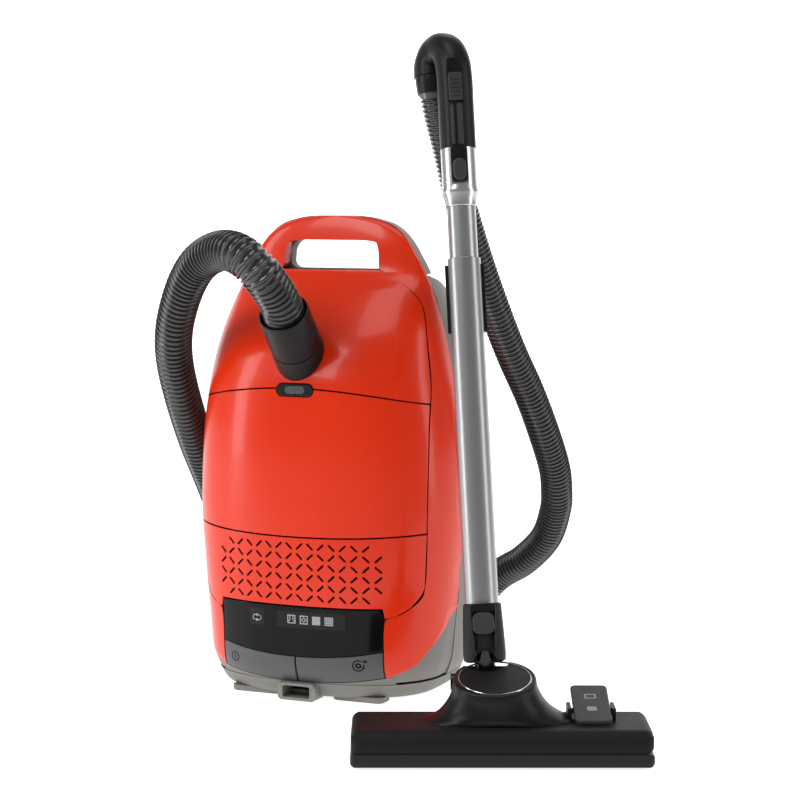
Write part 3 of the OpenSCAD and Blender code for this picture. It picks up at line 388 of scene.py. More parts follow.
def fine(P, n):
    t = list(range(len(P))); X = pchip(t, [p[0] for p in P]); Z = pchip(t, [p[1] for p in P])
    return [(X(i*(len(P)-1)/n), Z(i*(len(P)-1)/n)) for i in range(n+1)]
fo, fi = fine(outl, 64), fine(inl, 64)
loop = [(a, b) for a, b in zip(fo, fi)]+[((-a[0], a[1]), (-b[0], b[1])) for a, b in list(zip(fo, fi))[-2:0:-1]]
HR_ = []
for a, b in loop:
    row = []
    for k in range(17):
        th = pi*k/16; c = 0.5+0.5*sgp(cos(th), 0.55); d = sgp(sin(th), 0.55)
        row.append((b[0]+(a[0]-b[0])*c, YP+23.9*d, b[1]+(a[1]-b[1])*c))
    HR_.append(row)
HR_.append(HR_[0])
hv, hf = loft(HR_, False, False, True)
piece("canister_back_shell", join([gridclosed(O, I), (hv, hf)]+[ycyl(0, 78, 94, 376, 15)]+[ycyl(s*95, 66, 94, 95, 15) for s in (-1, 1)]+[ycyl(x, 70, 90.5, z, 7) for x, z in ((-70,60),(70,60),(-62,404),(62,404))]+[ycyl(0, -30, 90, 95, 8), ycyl(0, 74, 90, 95, 24)]), GREY, "canister", "base_tub", bevel=0.5)

# foot skirt, floor pads and the park bracket
def skr(z, o, zz, n=160):
    R = []
    for k in range(n):
        t = 2*pi*k/n; s_, c_ = sin(t), cos(t); fr = s_ < 0; e = 0.8 if fr else 2/3
        R.append(((fa(z)-o)*sgp(c_, e), YP+((fb(z) if fr else fc(z))-o)*sgp(s_, e), zz))
    return R
sk = loft([skr(4, 3.5, 4), skr(4, 1.2, 4.3), skr(5, 0.3, 5.4), skr(8, 0, 8), skr(12, 0, 12), skr(16, 0, 16), skr(20, 0, 19.6), skr(20, 3, 19.6), skr(12, 4, 8)])
pads = []
for s in (-1, 1):
    pads.append(xf(Matrix.Translation((s*59, -87, 0)), plate(58, 26, 8, [(1.4, 0), (0.4, 0.5), (0, 1.6), (0, 6)])))
    pads.append(xf(Matrix.Translation((s*65, 63, 0)), plate(50, 26, 8, [(1.4, 0), (0.4, 0.5), (0, 1.6), (0, 6)])))
pads.append(lathe([(14.6, 0), (15.6, 0.5), (16, 1.6), (16, 6)], 40))
piece("canister_foot_skirt", join([sk]+pads), GREYD, "canister", ["base_skirt"], cuts=[boxm((-18, -130, 3), (18, -100, 21))], bevel=0)
bo, bi = rrect(42.8, 18.9, 4.5, 8), rrect(30.8, 12, 2.0, 8)
def xz(P, y, cz_, ins=0.0): return [(x*(1-ins/25), y, cz_+z*(1-ins/10)) for x, z in P]
R = [xz(bo, -99, 9.95), xz(bo, -120.6, 9.95), xz(bo, -121.7, 9.95, 0.25), xz(bo, -122.2, 9.95, 0.8), xz(bi, -122.2, 10, -0.7), xz(bi, -121.7, 10, -0.2), xz(bi, -120.8, 10), xz(bi, -99, 10)]
bv, bf = loft(R, False, False); n_ = len(bo); bf += [(k, (k+1) % n_, 7*n_+(k+1) % n_, 7*n_+k) for k in range(n_)]
hook = xf(Matrix.Translation((20.6, -121.4, 9.5)) @ Matrix.Rotation(rad(90), 4, "X"), plate(5.2, 13.5, 2.2, [(0, -2), (0, 1.4), (0.5, 2.2)]))
piece("park_bracket", join([(bv, bf), hook]), MIDP2, "canister", ["base_skirt"], bevel=0)

# grey chin under the curved lower edge of the orange housing
RI = [[93,22],[93,40],[93,70],[95,89],[108,95],[119,103],[126,113],[128,124],[131,183],[131.5,244],[129.5,318],[121,372],[114,400],[110,410],[102,421],[92,429],[70,441],[56,449],[54,465],[50,475],[30,477],[0,477]]
ROc = [[127,22],[133.5,40],[137,70],[139,89],[140,97],[141,108],[141.5,118],[142,128],[146.5,183],[145.5,244],[137.5,318],[127.5,372],[120,400],[116,414],[111,427],[104,442],[94,460],[84,476],[70,490],[52,498],[30,502],[0,503]]
ROv = [[96,28.9],[117,39.5],[135.5,74],[138.6,92]]+ROc[4:]
RIv = [[93,28.2],[93,44],[93,70],[95,89]]+RI[4:]
def curve(P):
    t = list(range(len(P))); X = pchip(t, [p[0] for p in P]); Z = pchip(t, [p[1] for p in P]); return lambda u: (X(u), Z(u))
cRI, cRO, cRV, cRW = curve(RI), curve(ROc), curve(ROv), curve(RIv)
RS = frange(0, 0.8, 10)+[0.85, 0.9, 0.94, 0.97, 0.985, 1.0]
def rrow(u, s, o, vis):
    a, b = (cRW(u) if vis else cRI(u)), (cRV(u) if vis else cRO(u)); row = []
    for r in RS:
        x, z = a[0]+(b[0]-a[0])*r, a[1]+(b[1]-a[1])*r
        if o > 0 and u < 17: x -= o*r*(sm(1.2, 3.2, u) if vis else 1)
        if r == 1.0 and (not vis or u >= 2.4): y = YP
        elif r == 1.0 and u > 1.6: y = yf(x, z, o)+(YP-yf(x, z, o))*sm(1.6, 2.4, u)
        else: y = YP if (o > 0 and u >= 17) else yf(x, z, o)
        row.append((s*x, y, z))
    return row
UR = [i/6 for i in range(0, 21*6+1)]
O = [rrow(u, 1, 0, True) for u in UR]+[rrow(u, -1, 0, True) for u in UR[-2::-1]]
I = [rrow(u, 1, WALL, True) for u in UR]+[rrow(u, -1, WALL, True) for u in UR[-2::-1]]
def hinge(yb, z0, z1, py, pz, xe, yo, yi):
    P = [(-xe,yo),(-128,yo-8),(-120,yb+25),(-110,yb+14),(-100,yb+6),(-80,yb),(80,yb),(100,yb+6),(110,yb+14),(120,yb+25),(128,yo-8),(xe,yo),
         (xe,yi),(126,yi-3),(120,yb+30),(110,yb+20),(100,yb+13),(80,yb+8),(-80,yb+8),(-100,yb+13),(-110,yb+20),(-120,yb+30),(-126,yi-3),(-xe,yi)]
    n = len(P)//2; V = [(x, y, z) for z in (z0, z1) for x, y in P]; F = []; K = len(P)
    for k in range(K): d = (k+1) % K; F.append((k, d, K+d, K+k))
    for k in range(n-1): F.append((k, k+1, K-2-k, K-1-k)); F.append((K+k, 2*K-1-k, 2*K-2-k, K+k+1))
    out = [(V, F)]
    for s in (-1, 1):
        for x in (22, 36.5):
            a, b = sorted((s*x, s*(x+2.8))); out.append(boxm((a, py-1.7, pz-6), (b, yb+4, pz+3))); out.append(boxm((a, yb, min(z0+0.5, pz-6)), (b, yb+4, max(z1-0.5, pz))))
        a, b = sorted((s*23, s*38)); out.append(xcyl(a, b, py, pz, 1.5, 24))
    return out
piece("housing_orange", gridclosed(O, I), ORANGE, "canister", "upper_housing", bevel=0.55, segs=3, ang=50)
piece("housing_hinge_bars", join(hinge(-98, 311, 319, -115.1, 320.5, 133, -52, -42)+hinge(-100, 157, 165, -118, 166.5, 136, -66, -56)+hinge(-100, 80, 90, -117.6, 95, 129.5, -55, -46)+[boxm((-18, -118.2, 318), (18, -92, 321.9)), boxm((-18, -118.2, 328.4), (18, -92, 330)), boxm((-18, -118.2, 321.9), (-15.5, -92, 328.4)), boxm((15.5, -118.2, 321.9), (18, -92, 328.4))]), ORANGE_IN, "canister", ["upper_housing"], bevel=0.3)
UC = [i/8 for i in range(0, 25)]
for s, nm in ((1, "right"), (-1, "left")):
    O = [rrow(u, s, 0.8, False) for u in UC]; I = [rrow(u, s, 3.2, False) for u in UC]
    piece("base_chin_"+nm, gridclosed(O, I), GREY, "canister", ["base_tub"], bevel=0.3, ang=50)

# ------------------------------------------------------------------ lids
def goose(py, pz, e=-4.2):
    S = [(-1.2,0),(9,-2.2),(16,1.2),(16,10),(10,17.4),(0,19),(e,19),(e,15.8),(0,15.8),(8.6,13.4),(12.6,8.8),(12.6,3),(8.6,1),(0,1.6)]
    out = []
    for s in (-1, 1):
        a, b = sorted((s*26, s*36)); n = len(S); V = [(x, py+p, pz+q) for x in (a, b) for p, q in S]; F = []
        for k in range(n): d = (k+1) % n; F.append((k, d, n+d, n+k))
        for k in range(n//2-1): F.append((k, k+1, n-2-k, n-1-k)); F.append((n+k, 2*n-1-k, 2*n-2-k, n+k+1))
        out += [(V, F), xcyl(a, b, py, pz, 2.75, 28)]
    return out
SL = [math.copysign(1-(1-abs(u))**1.25, u) for u in frange(-1, 1, 88)]
def lidg(zb, zt, a0, a1, g, o, d, nz):
    R = []
    for i in range(nz+1):
        f = i/nz; zz = zb+d+(zt-zb-2*d)*f; row = []
        for s in SL:
            x = s*(lidx(zz)-g-d); z = zz+(1-s*s)*(a0*(1-f)+a1*f); row.append((x, yf(x, z, o), z))
        R.append(row)
    return R
def conn(vf): return xf(CONN, vf)
bore = conn(lathe([(19.1, -30), (19.1, 40)], 48))
piece("dust_lid_shell", gridclosed(lidg(311.6, 446, 16, 0, GAP, 0, 0, 62), lidg(311.6, 446, 16, 0, GAP, WALL, 2.4, 62)), ORANGE, "lid", "dust_lid", cuts=[capsule(7.2, -135, -105), bore], bevel=0.7, segs=3, ang=50)
piece("dust_lid_arms", join(goose(-115.1, 320.5, -0.4)+[boxm((s*17-1, -36, 431), (s*17+1, -27, 441)) for s in (-1, 1)]), ORANGE_IN, "lid", ["dust_lid"], bevel=0.3)
piece("connector_socket", conn(lathe([(19.15, -14), (26.4, -14), (27, -13.4), (27.15, 6), (27.0, 10.9), (26.6, 11.6), (19.15, 11.6)], 72, closed=True)), BLACK, "lid", ["dust_lid"], bevel=0)
piece("accessory_lid_shell", gridclosed(lidg(178.6, 310.4, -5, 16, GAP, 0, 0, 46), lidg(178.6, 310.4, -5, 16, GAP, WALL, 2.4, 46)), ORANGE, "accessory_cover", "accessory_lid", cuts=[capsule(7.3, -135, -105)], bevel=0.7, segs=3, ang=50)
piece("accessory_lid_arms", join(goose(-118, 166.5)), ORANGE_IN, "accessory_cover", ["accessory_lid"], bevel=0.3)
TG = [[0,101],[93.4,101],[95.2,90.5],[105,93],[117,101],[125,112],[128,121]]
def lk(x, T):
    if x <= T[0][0]: return T[0][1]
    for a, b in zip(T, T[1:]):
        if x <= b[0]: return a[1]+(b[1]-a[1])*(x-a[0])/(b[0]-a[0])
    return T[-1][1]
GS = sorted(set([round(v, 5) for v in frange(-0.7275, 0.7275, 72)]+[s*v for s in (-1, 1) for v in (0.7275, 0.735, 0.742, 0.765, 0.79, 0.82, 0.85, 0.88, 0.914, 0.945, 0.965, 0.98, 0.99, 1.0)]))
def grg(g, o, d, nf=26):
    R = []
    for i in range(nf+1):
        f = i/nf; row = []
        for s in GS:
            x0 = s*(128-g); x = s*(128-g-d+3*f); zb = lk(abs(x0)+g, TG)+g+d; zt = 173+5*s*s-g-d; z = zb+(zt-zb)*f; row.append((x, yf(x, z, o), z))
        R.append(row)
    return R
slots = []
for i in range(16):
    for k in range(6):
        if (0 < k < 5) or (0 < i < 15):
            a = rad(-47 if (i+k) % 2 else 47); cx, cz_ = (i-7.5)*11.9, 137+(2.5-k)*10.7
            yc = yf(cx, cz_)
            # long side leans one way, then the other
            dx, dz = sin(a), cos(a)
            P = []
            for q in range(8): b = -pi/2+pi*q/7; P.append((3.6+1.2*cos(b), 1.2*sin(b)))
            for q in range(8): b = pi/2+pi*q/7; P.append((-3.6+1.2*cos(b), 1.2*sin(b)))
            slots.append(loft([[(cx+p*dx+w*dz, y, cz_+p*dz-w*dx) for p, w in P] for y in (yc-7, yc+9)]))
piece("exhaust_grille_shell", gridclosed(grg(GAP, 0, 0), grg(GAP, WALL, 2.4)), ORANGE, "grille", "exhaust_grille", cuts=slots, bevel=0.5, segs=2, ang=55)
# near-black sheet set inside the grille wall and seen only through the slots: painted shade for the dark inside of the
# slots
SLOT_SHADE_OUT = [[(x, yf(x, z, 1.3), z) for x in frange(-97, 97, 60)] for z in frange(105.5, 168.5, 16)]; SLOT_SHADE_IN = [[(x, yf(x, z, 2.1), z) for x in frange(-97, 97, 60)] for z in frange(105.5, 168.5, 16)]
piece("exhaust_grille_slot_shade", gridclosed(SLOT_SHADE_OUT, SLOT_SHADE_IN), SLOT_SHADE, "grille", ["exhaust_grille"])
piece("exhaust_grille_arms", join(goose(-117.6, 95)), ORANGE_IN, "grille", ["exhaust_grille"], bevel=0.3)

# ------------------------------------------------------------------ control panel, keys, signs
def png(x0, x1, za, zb, zc, zd, o, dy, nx=44, nz=12, rt=0.0, ins=0.0):
    R = []
    for i in range(nz+1):
        f = i/nz; row = []
        for j in range(nx+1):
            x = x0+(x1-x0)*j/nx; e = (abs(x)/91.5)**2; lo_, hi_ = za+(zb-za)*e, zc+(zd-zc)*e
            if rt > 0:
                m = min(x-x0, x1-x)
                if m < rt: hi_ -= rt-math.sqrt(max(0, rt*rt-(rt-m)**2))
            z = lo_+ins+(hi_-lo_-2*ins)*f; row.append((x, yf(x, z, o)+dy, z))
        R.append(row)
    return R
def decal(xs, zs, off=0.15, depth=0.7): # xs, zs ranges of a small rectangle
    O = [[(x, yf(x, z)-off, z) for x in xs] for z in zs]; I = [[(x, yf(x, z)+depth, z) for x in xs] for z in zs]; return gridclosed(O, I)
def ringd(x0, z0, r0, r1, a0=0, a1=360, n=48, off=0.15, depth=0.7):
    A = [rad(a0+(a1-a0)*k/n) for k in range(n+1)]
    O = [[(x0+r*cos(a), yf(x0+r*cos(a), z0+r*sin(a))-off, z0+r*sin(a)) for a in A] for r in (r0, r1)]
    I = [[(x, y+off+depth, z) for x, y, z in row] for row in O]
    return gridclosed(O, I)
piece("control_panel_gloss", gridclosed(png(-91.7, 91.7, 48.4, 56.4, 100.2, 100.2, 0.4, 0, 88, 20, 4), png(-91.7, 91.7, 48.4, 56.4, 100.2, 100.2, 0.4, 2.0, 88, 20, 4)), PANEL, "canister", "control_panel", bevel=0.5, segs=2, ang=50)
piece("control_panel_windows", join([decal(frange(WX[0], WX[1], 8), frange(WX[2], WX[3], 4), off=-0.28, depth=1.2), decal(frange(WX[4], WX[5], 20), frange(WX[2], WX[3], 4), off=-0.28, depth=1.2)]), PANEL2, "canister", ["control_panel"], bevel=0.15)
piece("base_chin_front", gridclosed(png(-99.5, 99.5, 19.3, 19.3, 19.9, 27.6, 0.5, 0, 60, 4), png(-99.5, 99.5, 19.3, 19.3, 19.9, 27.6, 0.5, 2.6, 60, 4)), GREY, "canister", ["base_skirt"], bevel=0.3, ang=50)
cx, cz_ = CYC
def lineq(P, w, off=0.15, depth=0.6):
    out = []
    for (x0, z0), (x1, z1) in zip(P, P[1:]):
        l = math.hypot(x1-x0, z1-z0); nx, nz = -(z1-z0)/l*w/2, (x1-x0)/l*w/2; ex, ez = (x1-x0)/l*w*0.4, (z1-z0)/l*w*0.4
        Q = [(x0-ex+nx, z0-ez+nz), (x1+ex+nx, z1+ez+nz), (x1+ex-nx, z1+ez-nz), (x0-ex-nx, z0-ez-nz)]
        out.append(loft([[(x, yf(x, z)-off, z) for x, z in Q], [(x, yf(x, z)+depth, z) for x, z in Q]]))
    return join(out)
def arcp(x0, z0, rx, rz, a0, a1, n=12): return [(x0+rx*cos(rad(a0+(a1-a0)*k/n)), z0+rz*sin(rad(a0+(a1-a0)*k/n))) for k in range(n+1)]
def tri(p, off=0.15, depth=0.6): return loft([[(a, yf(a, b)-off, b) for a, b in p], [(a, yf(a, b)+depth, b) for a, b in p]])
PO = -0.15
cyc = [lineq([(cx-0.6, cz_+2.6)]+arcp(cx-2.4, cz_, 2.6, 2.6, 100, 250), 0.85, PO, 0.9), lineq([(cx+0.6, cz_-2.6)]+arcp(cx+2.4, cz_, 2.6, 2.6, 280, 430), 0.85, PO, 0.9),
       tri([(cx+2.2, cz_+2.6), (cx-0.4, cz_+4.3), (cx-0.4, cz_+0.9)], PO, 0.9), tri([(cx-2.2, cz_-2.6), (cx+0.4, cz_-0.9), (cx+0.4, cz_-4.3)], PO, 0.9)]
def box_(x, w, h): return [(x-w, SQZ-h), (x+w, SQZ-h), (x+w, SQZ+h), (x-w, SQZ+h), (x-w, SQZ-h)]
x1, x2, x3, x4 = SQX
sg = [lineq(box_(x1, 4.2, 4.0), 0.8, PO, 0.9), lineq([(x1-1.9, SQZ+3.6), (x1-1.6, SQZ-0.4), (x1-3.4, SQZ-2.2)], 0.8, PO, 0.9), lineq([(x1+1.9, SQZ+3.6), (x1+1.6, SQZ-0.4), (x1+3.4, SQZ-2.2)], 0.8, PO, 0.9),
      lineq(box_(x2, 4.0, 4.0), 0.9, PO, 0.9), lineq([(x2, SQZ+2.3), (x2+2.3, SQZ), (x2, SQZ-2.3), (x2-2.3, SQZ), (x2, SQZ+2.3)], 0.8, PO, 0.9)]
for k in range(7): sg.append(lineq([(x3-4.2, SQZ-3.9+1.3*k), (x3+4.2, SQZ-3.9+1.3*k)], 0.8, PO, 0.9)); sg.append(lineq([(x3-3.9+1.3*k, SQZ-4.2), (x3-3.9+1.3*k, SQZ+4.2)], 0.5, PO, 0.9))
for k in range(5): sg.append(lineq([(x4-4.2, SQZ-4.0+2.0*k), (x4+4.2, SQZ-4.0+2.0*k)], 0.8, PO, 0.9)); sg.append(lineq([(x4-4.2+2.1*k, SQZ-4.2), (x4-4.2+2.1*k, SQZ+4.2)], 0.7, PO, 0.9))
piece("control_panel_signs", join(cyc+sg), ICON, "canister", ["control_panel"], bevel=0)
piece("power_key_cap", gridclosed(png(-91.6, -0.8, 20.4, 28.4, 47.6, 55.6, 0, 0, 50, 14), png(-91.6, -0.8, 20.4, 28.4, 47.6, 55.6, 0, 5, 50, 14)), KEYM, "on_off_key", "power_key", bevel=1.3, segs=3, ang=50)
piece("rewind_key_cap", gridclosed(png(0.8, 91.6, 20.4, 28.4, 47.6, 55.6, 0, 0, 50, 14), png(0.8, 91.6, 20.4, 28.4, 47.6, 55.6, 0, 5, 50, 14)), KEYM, "cord_key", "rewind_key", bevel=1.3, segs=3, ang=50)
px, pz = PWR
piece("power_key_sign", join([ringd(px, pz, 4.5, 5.3), decal(frange(px-0.4, px+0.4, 1), frange(pz-3.0, pz+3.0, 4))]), ICOND, "on_off_key", ["power_key"])
px, pz = CRD
piece("rewind_key_sign", join([ringd(px, pz, 5.0, 6.1, 60, 375), ringd(px, pz, 1.4, 2.9), lineq([(px+2.6, pz-0.6), (px+4.2, pz-2.6), (px+6.4, pz-2.2)], 0.7), lineq([(px+4.6, pz+4.4), (px+8.4, pz+4.6)], 1.3), lineq([(px+6.6, pz+3.0), (px+6.6, pz+6.2)], 0.9)]), ICOND, "cord_key", ["rewind_key"])
piece("indicator_bezel", join([capsule(6.1, -121.75, -118.4)]), BLACKG, "canister", "indicator_lens", bevel=0.5, segs=2)
piece("indicator_window", plate(22, 7.4, 3.4, [(0, 0), (0, 0.6), (0.3, 0.8)], Matrix.Translation((0, -121.3, 325.2)) @ Matrix.Rotation(rad(90), 4, "X")), LENS, "canister", ["indicator_lens"])

# ------------------------------------------------------------------ hose connector
piece("hose_connector_body", conn(lathe([(15.5, -13), (18.4, -13), (19, -12.4), (19, 11.9), (25.2, 12.0), (26.4, 12.5), (26.8, 13.6), (26.75, 30), (26.3, 50), (26.1, 58), (26.0, 60.8), (25.6, 61.7), (24.9, 62), (24.2, 61.7), (23.8, 60.8), (23.4, 56), (22.2, 55.4), (21.9, 56), (21.7, 60.6), (20.9, 61.4), (19.6, 61.0), (19.4, 56), (15.5, 40)], 80, closed=True)), BLACK, "connector", "hose_connector", bevel=0)

# ------------------------------------------------------------------ wand
def wand(vf): return xf(WAND, vf)
neckM = Matrix.Translation((250, -217, 0))
sock = [wand(lathe([(16.1, 25), (16.1, 57), (17.2, 57.2), (18.1, 56.4), (18.4, 55), (18.9, 46), (19.6, 32), (20.3, 16), (20.5, 8), (20.1, 3), (18.6, 1.8), (16.5, 1.1), (10.9, 1.1), (10.9, 25)], 72, closed=True)),
        wand(xf(Matrix.Rotation(rad(90), 4, "X"), loft([[(x*(1-0.02*i)*(0.84+0.16*sm(10, 57, 33.5+y)), y+33.5, i_) for x, y in rrect(25, 47, 4, 6)] for i, i_ in ((0, 8), (0, 19.9), (1, 20.7), (3.5, 21.1))])))]
archcut = wand(xf(Matrix.Rotation(rad(90), 4, "X"), loft([[(12.2*cos(2*pi*k/40), -2+14.5*sin(2*pi*k/40), z) for k in range(40)] for z in (8, 40)])))
pocket = wand(boxm((-8.6, -26, 14), (8.6, -17.6, 28)))
bpock = wand(boxm((-10.7, -27, 27.4), (10.7, -17.0, 49.6)))
piece("elbow_shell", join([sock[0]]), BLACKM, "wand", "elbow_socket", cuts=[archcut, bpock], bevel=0, one_by_one=True)
piece("elbow_plate", join([sock[1]]), BLACK, "wand", ["elbow_socket"], cuts=[pocket, archcut, bpock], bevel=0, one_by_one=True)
piece("elbow_button_cap", wand(plate(20.5, 21, 6.5, [(0, 19.5), (0, 21.9), (0.5, 22.6), (1.8, 22.9)], Matrix.Translation((0, 0, 38.5)) @ Matrix.Rotation(rad(90), 4, "X"))), SOFTG, "elbow_catch", "elbow_button", bevel=0)
piece("collar_shell", wand(lathe([(14.05, 441), (14.7, 440.4), (15.3, 441), (15.6, 446), (17.6, 452.5), (18.1, 454.5), (18.0, 457), (17.3, 459.5), (17.2, 496.9), (14.05, 496.9)], 72, closed=True)), CHROME, "wand_top", "wand_collar", cuts=[wand(boxm((-8.2, -24, 461), (8.2, -14.6, 499)))], bevel=0)
piece("collar_button_plate", wand(join([plate(15.6, 33.6, 3, [(0, 17.3), (0, 18.9), (0.5, 19.5)], Matrix.Translation((0, 0, 479.8)) @ Matrix.Rotation(rad(90), 4, "X"))])), BLACK, "collar_catch", "collar_button", bevel=0)
piece("collar_button_cap", wand(plate(12.6, 21, 5.6, [(0, 19.2), (0, 20.7), (0.6, 21.5), (2, 21.9)], Matrix.Translation((0, 0, 474.5)) @ Matrix.Rotation(rad(90), 4, "X"))), SOFTG, "collar_catch", ["collar_button"], bevel=0)
HPATH = [(0,0,496.9),(0,0,512),(0,0,530),(0,0,546),(0,0,562),(-0.4,0.6,576),(-2.4,4.6,588.5),(-6.2,12.2,597.6),(-10.4,20.6,601.2),(-14.6,29,599.4),(-17.7,35.2,593.6),(-19,38,586),(-19,38,577.7)]
HWID = [16.2,16.2,16.2,16.3,16.4,16.4,16.2,15.9,15.9,16.6,17.8,18.8,19.0]
HDEP = [17.0,17.0,17.0,16.9,16.8,16.4,15.8,15.6,15.8,16.4,17.6,18.8,19.0]
tt = list(range(len(HPATH))); PX, PY, PZ, PW, PD = [pchip(tt, [p[k] for p in HPATH]) for k in range(3)]+[pchip(tt, HWID), pchip(tt, HDEP)]
LAT = Vector((0.894, 0.447, 0)); rings = []; NH = 84
for i in range(NH+1):
    u = (len(HPATH)-1)*i/NH; c = Vector((PX(u), PY(u), PZ(u))); a = Vector((PX(max(0, u-0.05)), PY(max(0, u-0.05)), PZ(max(0, u-0.05)))); b = Vector((PX(min(12, u+0.05)), PY(min(12, u+0.05)), PZ(min(12, u+0.05))))
    t = (b-a).normalized(); nrm = LAT.cross(t).normalized()
    rings.append([tuple(c+LAT*PW(u)*sgp(cos(2*pi*k/56), 0.78)+nrm*PD(u)*sgp(sin(2*pi*k/56), 0.78)) for k in range(56)])
piece("handle_grip", wand(loft(rings)), BLACK, "wand_top", "handle", cuts=[wand(boxm((-7.2, -20, 541), (7.2, -14.4, 584))), wand(xf(Matrix.Translation((-19, 38, 0)), lathe([(12.1, 570), (12.1, 596)], 40)))], bevel_after=False, bevel=0.8, ang=60)
piece("handle_front_strip", wand(plate(11.5, 41, 3, [(0, 14), (0, 16.9), (0.5, 17.5), (1.6, 17.7)], Matrix.Translation((0, 0, 519)) @ Matrix.Rotation(rad(90), 4, "X"))), SOFTG, "wand_top", ["handle"])
sl = [plate(13.2, 27.5, 2.6, [(0, 14.7), (0, 17.4), (0.5, 18.0)], Matrix.Translation((0, 0, 556)) @ Matrix.Rotation(rad(90), 4, "X"))]
for i in range(5): sl.append(plate(10, 2.2, 0.9, [(0, 17.5), (0, 18.5), (0.3, 18.9)], Matrix.Translation((0, 0, 548+i*4)) @ Matrix.Rotation(rad(90), 4, "X")))
piece("air_slider_pad", wand(join(sl)), SOFTG, "suction_slider", "air_slider")
piece("hose_cuff_body", wand(xf(Matrix.Translation((-19, 38, 0)), lathe([(9.5, 594), (12, 594), (12, 577.7), (18.4, 577.6), (18.9, 576.6), (18.7, 572), (18.0, 565), (17.4, 561), (17.0, 559.8), (16.5, 559.6), (16.2, 560.6), (16.2, 566), (9.5, 568)], 64, closed=True))), BLACK, "cuff", "hose_cuff", bevel=0)

# ------------------------------------------------------------------ floorhead
def head(vf): return xf(HEAD, vf)
HW = 140.5
def bar(prof, xe, rnd):
    """profile in (y, z) drawn along x with rounded ends"""
    cy = sum(p[0] for p in prof)/len(prof); cz__ = sum(p[1] for p in prof)/len(prof); R = []
    S = [(-xe, rnd), (-xe+0.25*rnd, rnd*0.55), (-xe+0.6*rnd, rnd*0.2), (-xe+rnd, 0)]
    S += [(x, 0) for x in frange(-xe+rnd+2, xe-rnd-2, 24)]+[(-a, b) for a, b in S[::-1]]
    for x, e in S:
        q = []
        for y, z in prof:
            dy, dz = y-cy, z-cz__; q.append((x, cy+math.copysign(max(0, abs(dy)-e), dy), cz__+math.copysign(max(0, abs(dz)-e*0.7), dz)))
        R.append(q)
    return loft(R)
def arc(cy, cz__, r, a0, a1, n=8): return [(cy+r*cos(rad(a0+(a1-a0)*k/n)), cz__+r*sin(rad(a0+(a1-a0)*k/n))) for k in range(n+1)]
top = arc(-5, 29, 5, 0, 90)+arc(-78, 19.6, 14.6, 90, 180, 12)+[(-92.6, 14.5), (0, 14.5)]
low = [(-0.4, 13.9), (-93.4, 13.9), (-93.7, 8), (-93.3, 2.8), (-92.2, 1.5), (-90.4, 1.5), (-89.6, 4), (-2, 4), (-0.4, 5.6)]
bodycuts = [head(boxm((-116, -66, 3), (116, -34, 30)))]+[head(boxm((-124, y-3, 3), (124, y+3, 24))) for y in (-84, -10.5)]+[head(boxm((s*60-6.5, -30, 3), (s*60+6.5, -14, 18))) for s in (-1, 1)]
piece("floorhead_shell", head(bar(top, HW-0.6, 6)), HEADM, "floorhead", "floorhead_body", cuts=bodycuts, bevel=0)
piece("floorhead_sole", head(join([bar(low, HW, 4)])), BLACKM, "floorhead", ["floorhead_body"], cuts=bodycuts, bevel=0)
piece("floorhead_details", head(join([boxm((63.4, -44, 33), (67, -16, 46)), boxm((105, -44, 33), (108.6, -16, 46))]+[plate(12, 8, 2, [(0.8, 0), (0, 0.8), (0, 5)], Matrix.Translation((s*128, y, 0))) for s in (-1, 1) for y in (-76, -36)])), BLACKM, "floorhead", ["floorhead_body"], bevel=0.6)
HT_ = [(34.1,74,35,0,-38,0),(36,70,35.4,-0.3,-38,0.005),(40,60.5,35.8,-1,-38,0.02),(48,49.5,36,-3,-37,0.08),(58,42.6,36.4,-4,-36,0.16),(67,39.8,36.8,-5,-35.5,0.24),(71,39.2,36.8,-5,-35.2,0.256),(72.6,38.6,36.2,-5,-35,0.26),(73.3,37.4,35,-5,-35,0.26)]
ti = list(range(len(HT_))); HF = [pchip(ti, [p[k] for p in HT_]) for k in range(6)]
R = []
for i in range(41):
    u = (len(HT_)-1)*i/40; z, a, b, cx, cy, k_ = [f(u) for f in HF]; row = []
    for j in range(72):
        t = 2*pi*j/72; y = b*sgp(sin(t), 0.93); row.append((cx+a*sgp(cos(t), 0.93), cy+y, z+y*k_))
    R.append(row)
hood = [loft(R)]
for s in (-1, 1):
    a, b = sorted((s*23, s*32)); hood += [xcyl(a-13, b-13, 0, 62, 14, 48), boxm((a-13, -24, 50), (b-13, 2, 72))]
hcuts = [xcyl(-33.6, 7.6, 0, 62, 15, 48), boxm((-33.6, -12, 55), (7.6, 30, 100)), xf(Matrix.Translation((-13, 0, 0)), lathe([(23, 74), (23, 104)], 48)), xcyl(-47, 21, 0, 62, 8.1, 40)]
piece("hood_shell", head(hood[0]), BLACK, "floorhead", "floorhead_hood", cuts=[head(c) for c in hcuts]+[head(boxm((63, -46, 30), (77, -14, 52)))], bevel=0, sharp=42, one_by_one=True)
piece("hood_neck_arms", head(join(hood[1:])), BLACKM, "floorhead", ["floorhead_hood"], cuts=[head(hcuts[0]), head(hcuts[3])], bevel=0, one_by_one=True)
disc = Matrix.Translation((-5, -35, 73.3)) @ Matrix.Rotation(rad(14.6), 4, "X")
piece("hood_ring", head(xf(disc, lathe([(33.2, -0.6), (33.3, 0.35), (33.8, 0.6), (34.5, 0.55), (34.8, 0.2), (34.8, -0.6)], 96, closed=True))), RINGM, "floorhead", ["floorhead_hood"])
piece("hood_disc", head(xf(disc, lathe([(33.1, -0.5), (33.1, 0.12), (20, 0.3), (3, 0.4)], 96))), BLACKM, "floorhead", ["floorhead_hood"], cuts=[head(hcuts[2])])
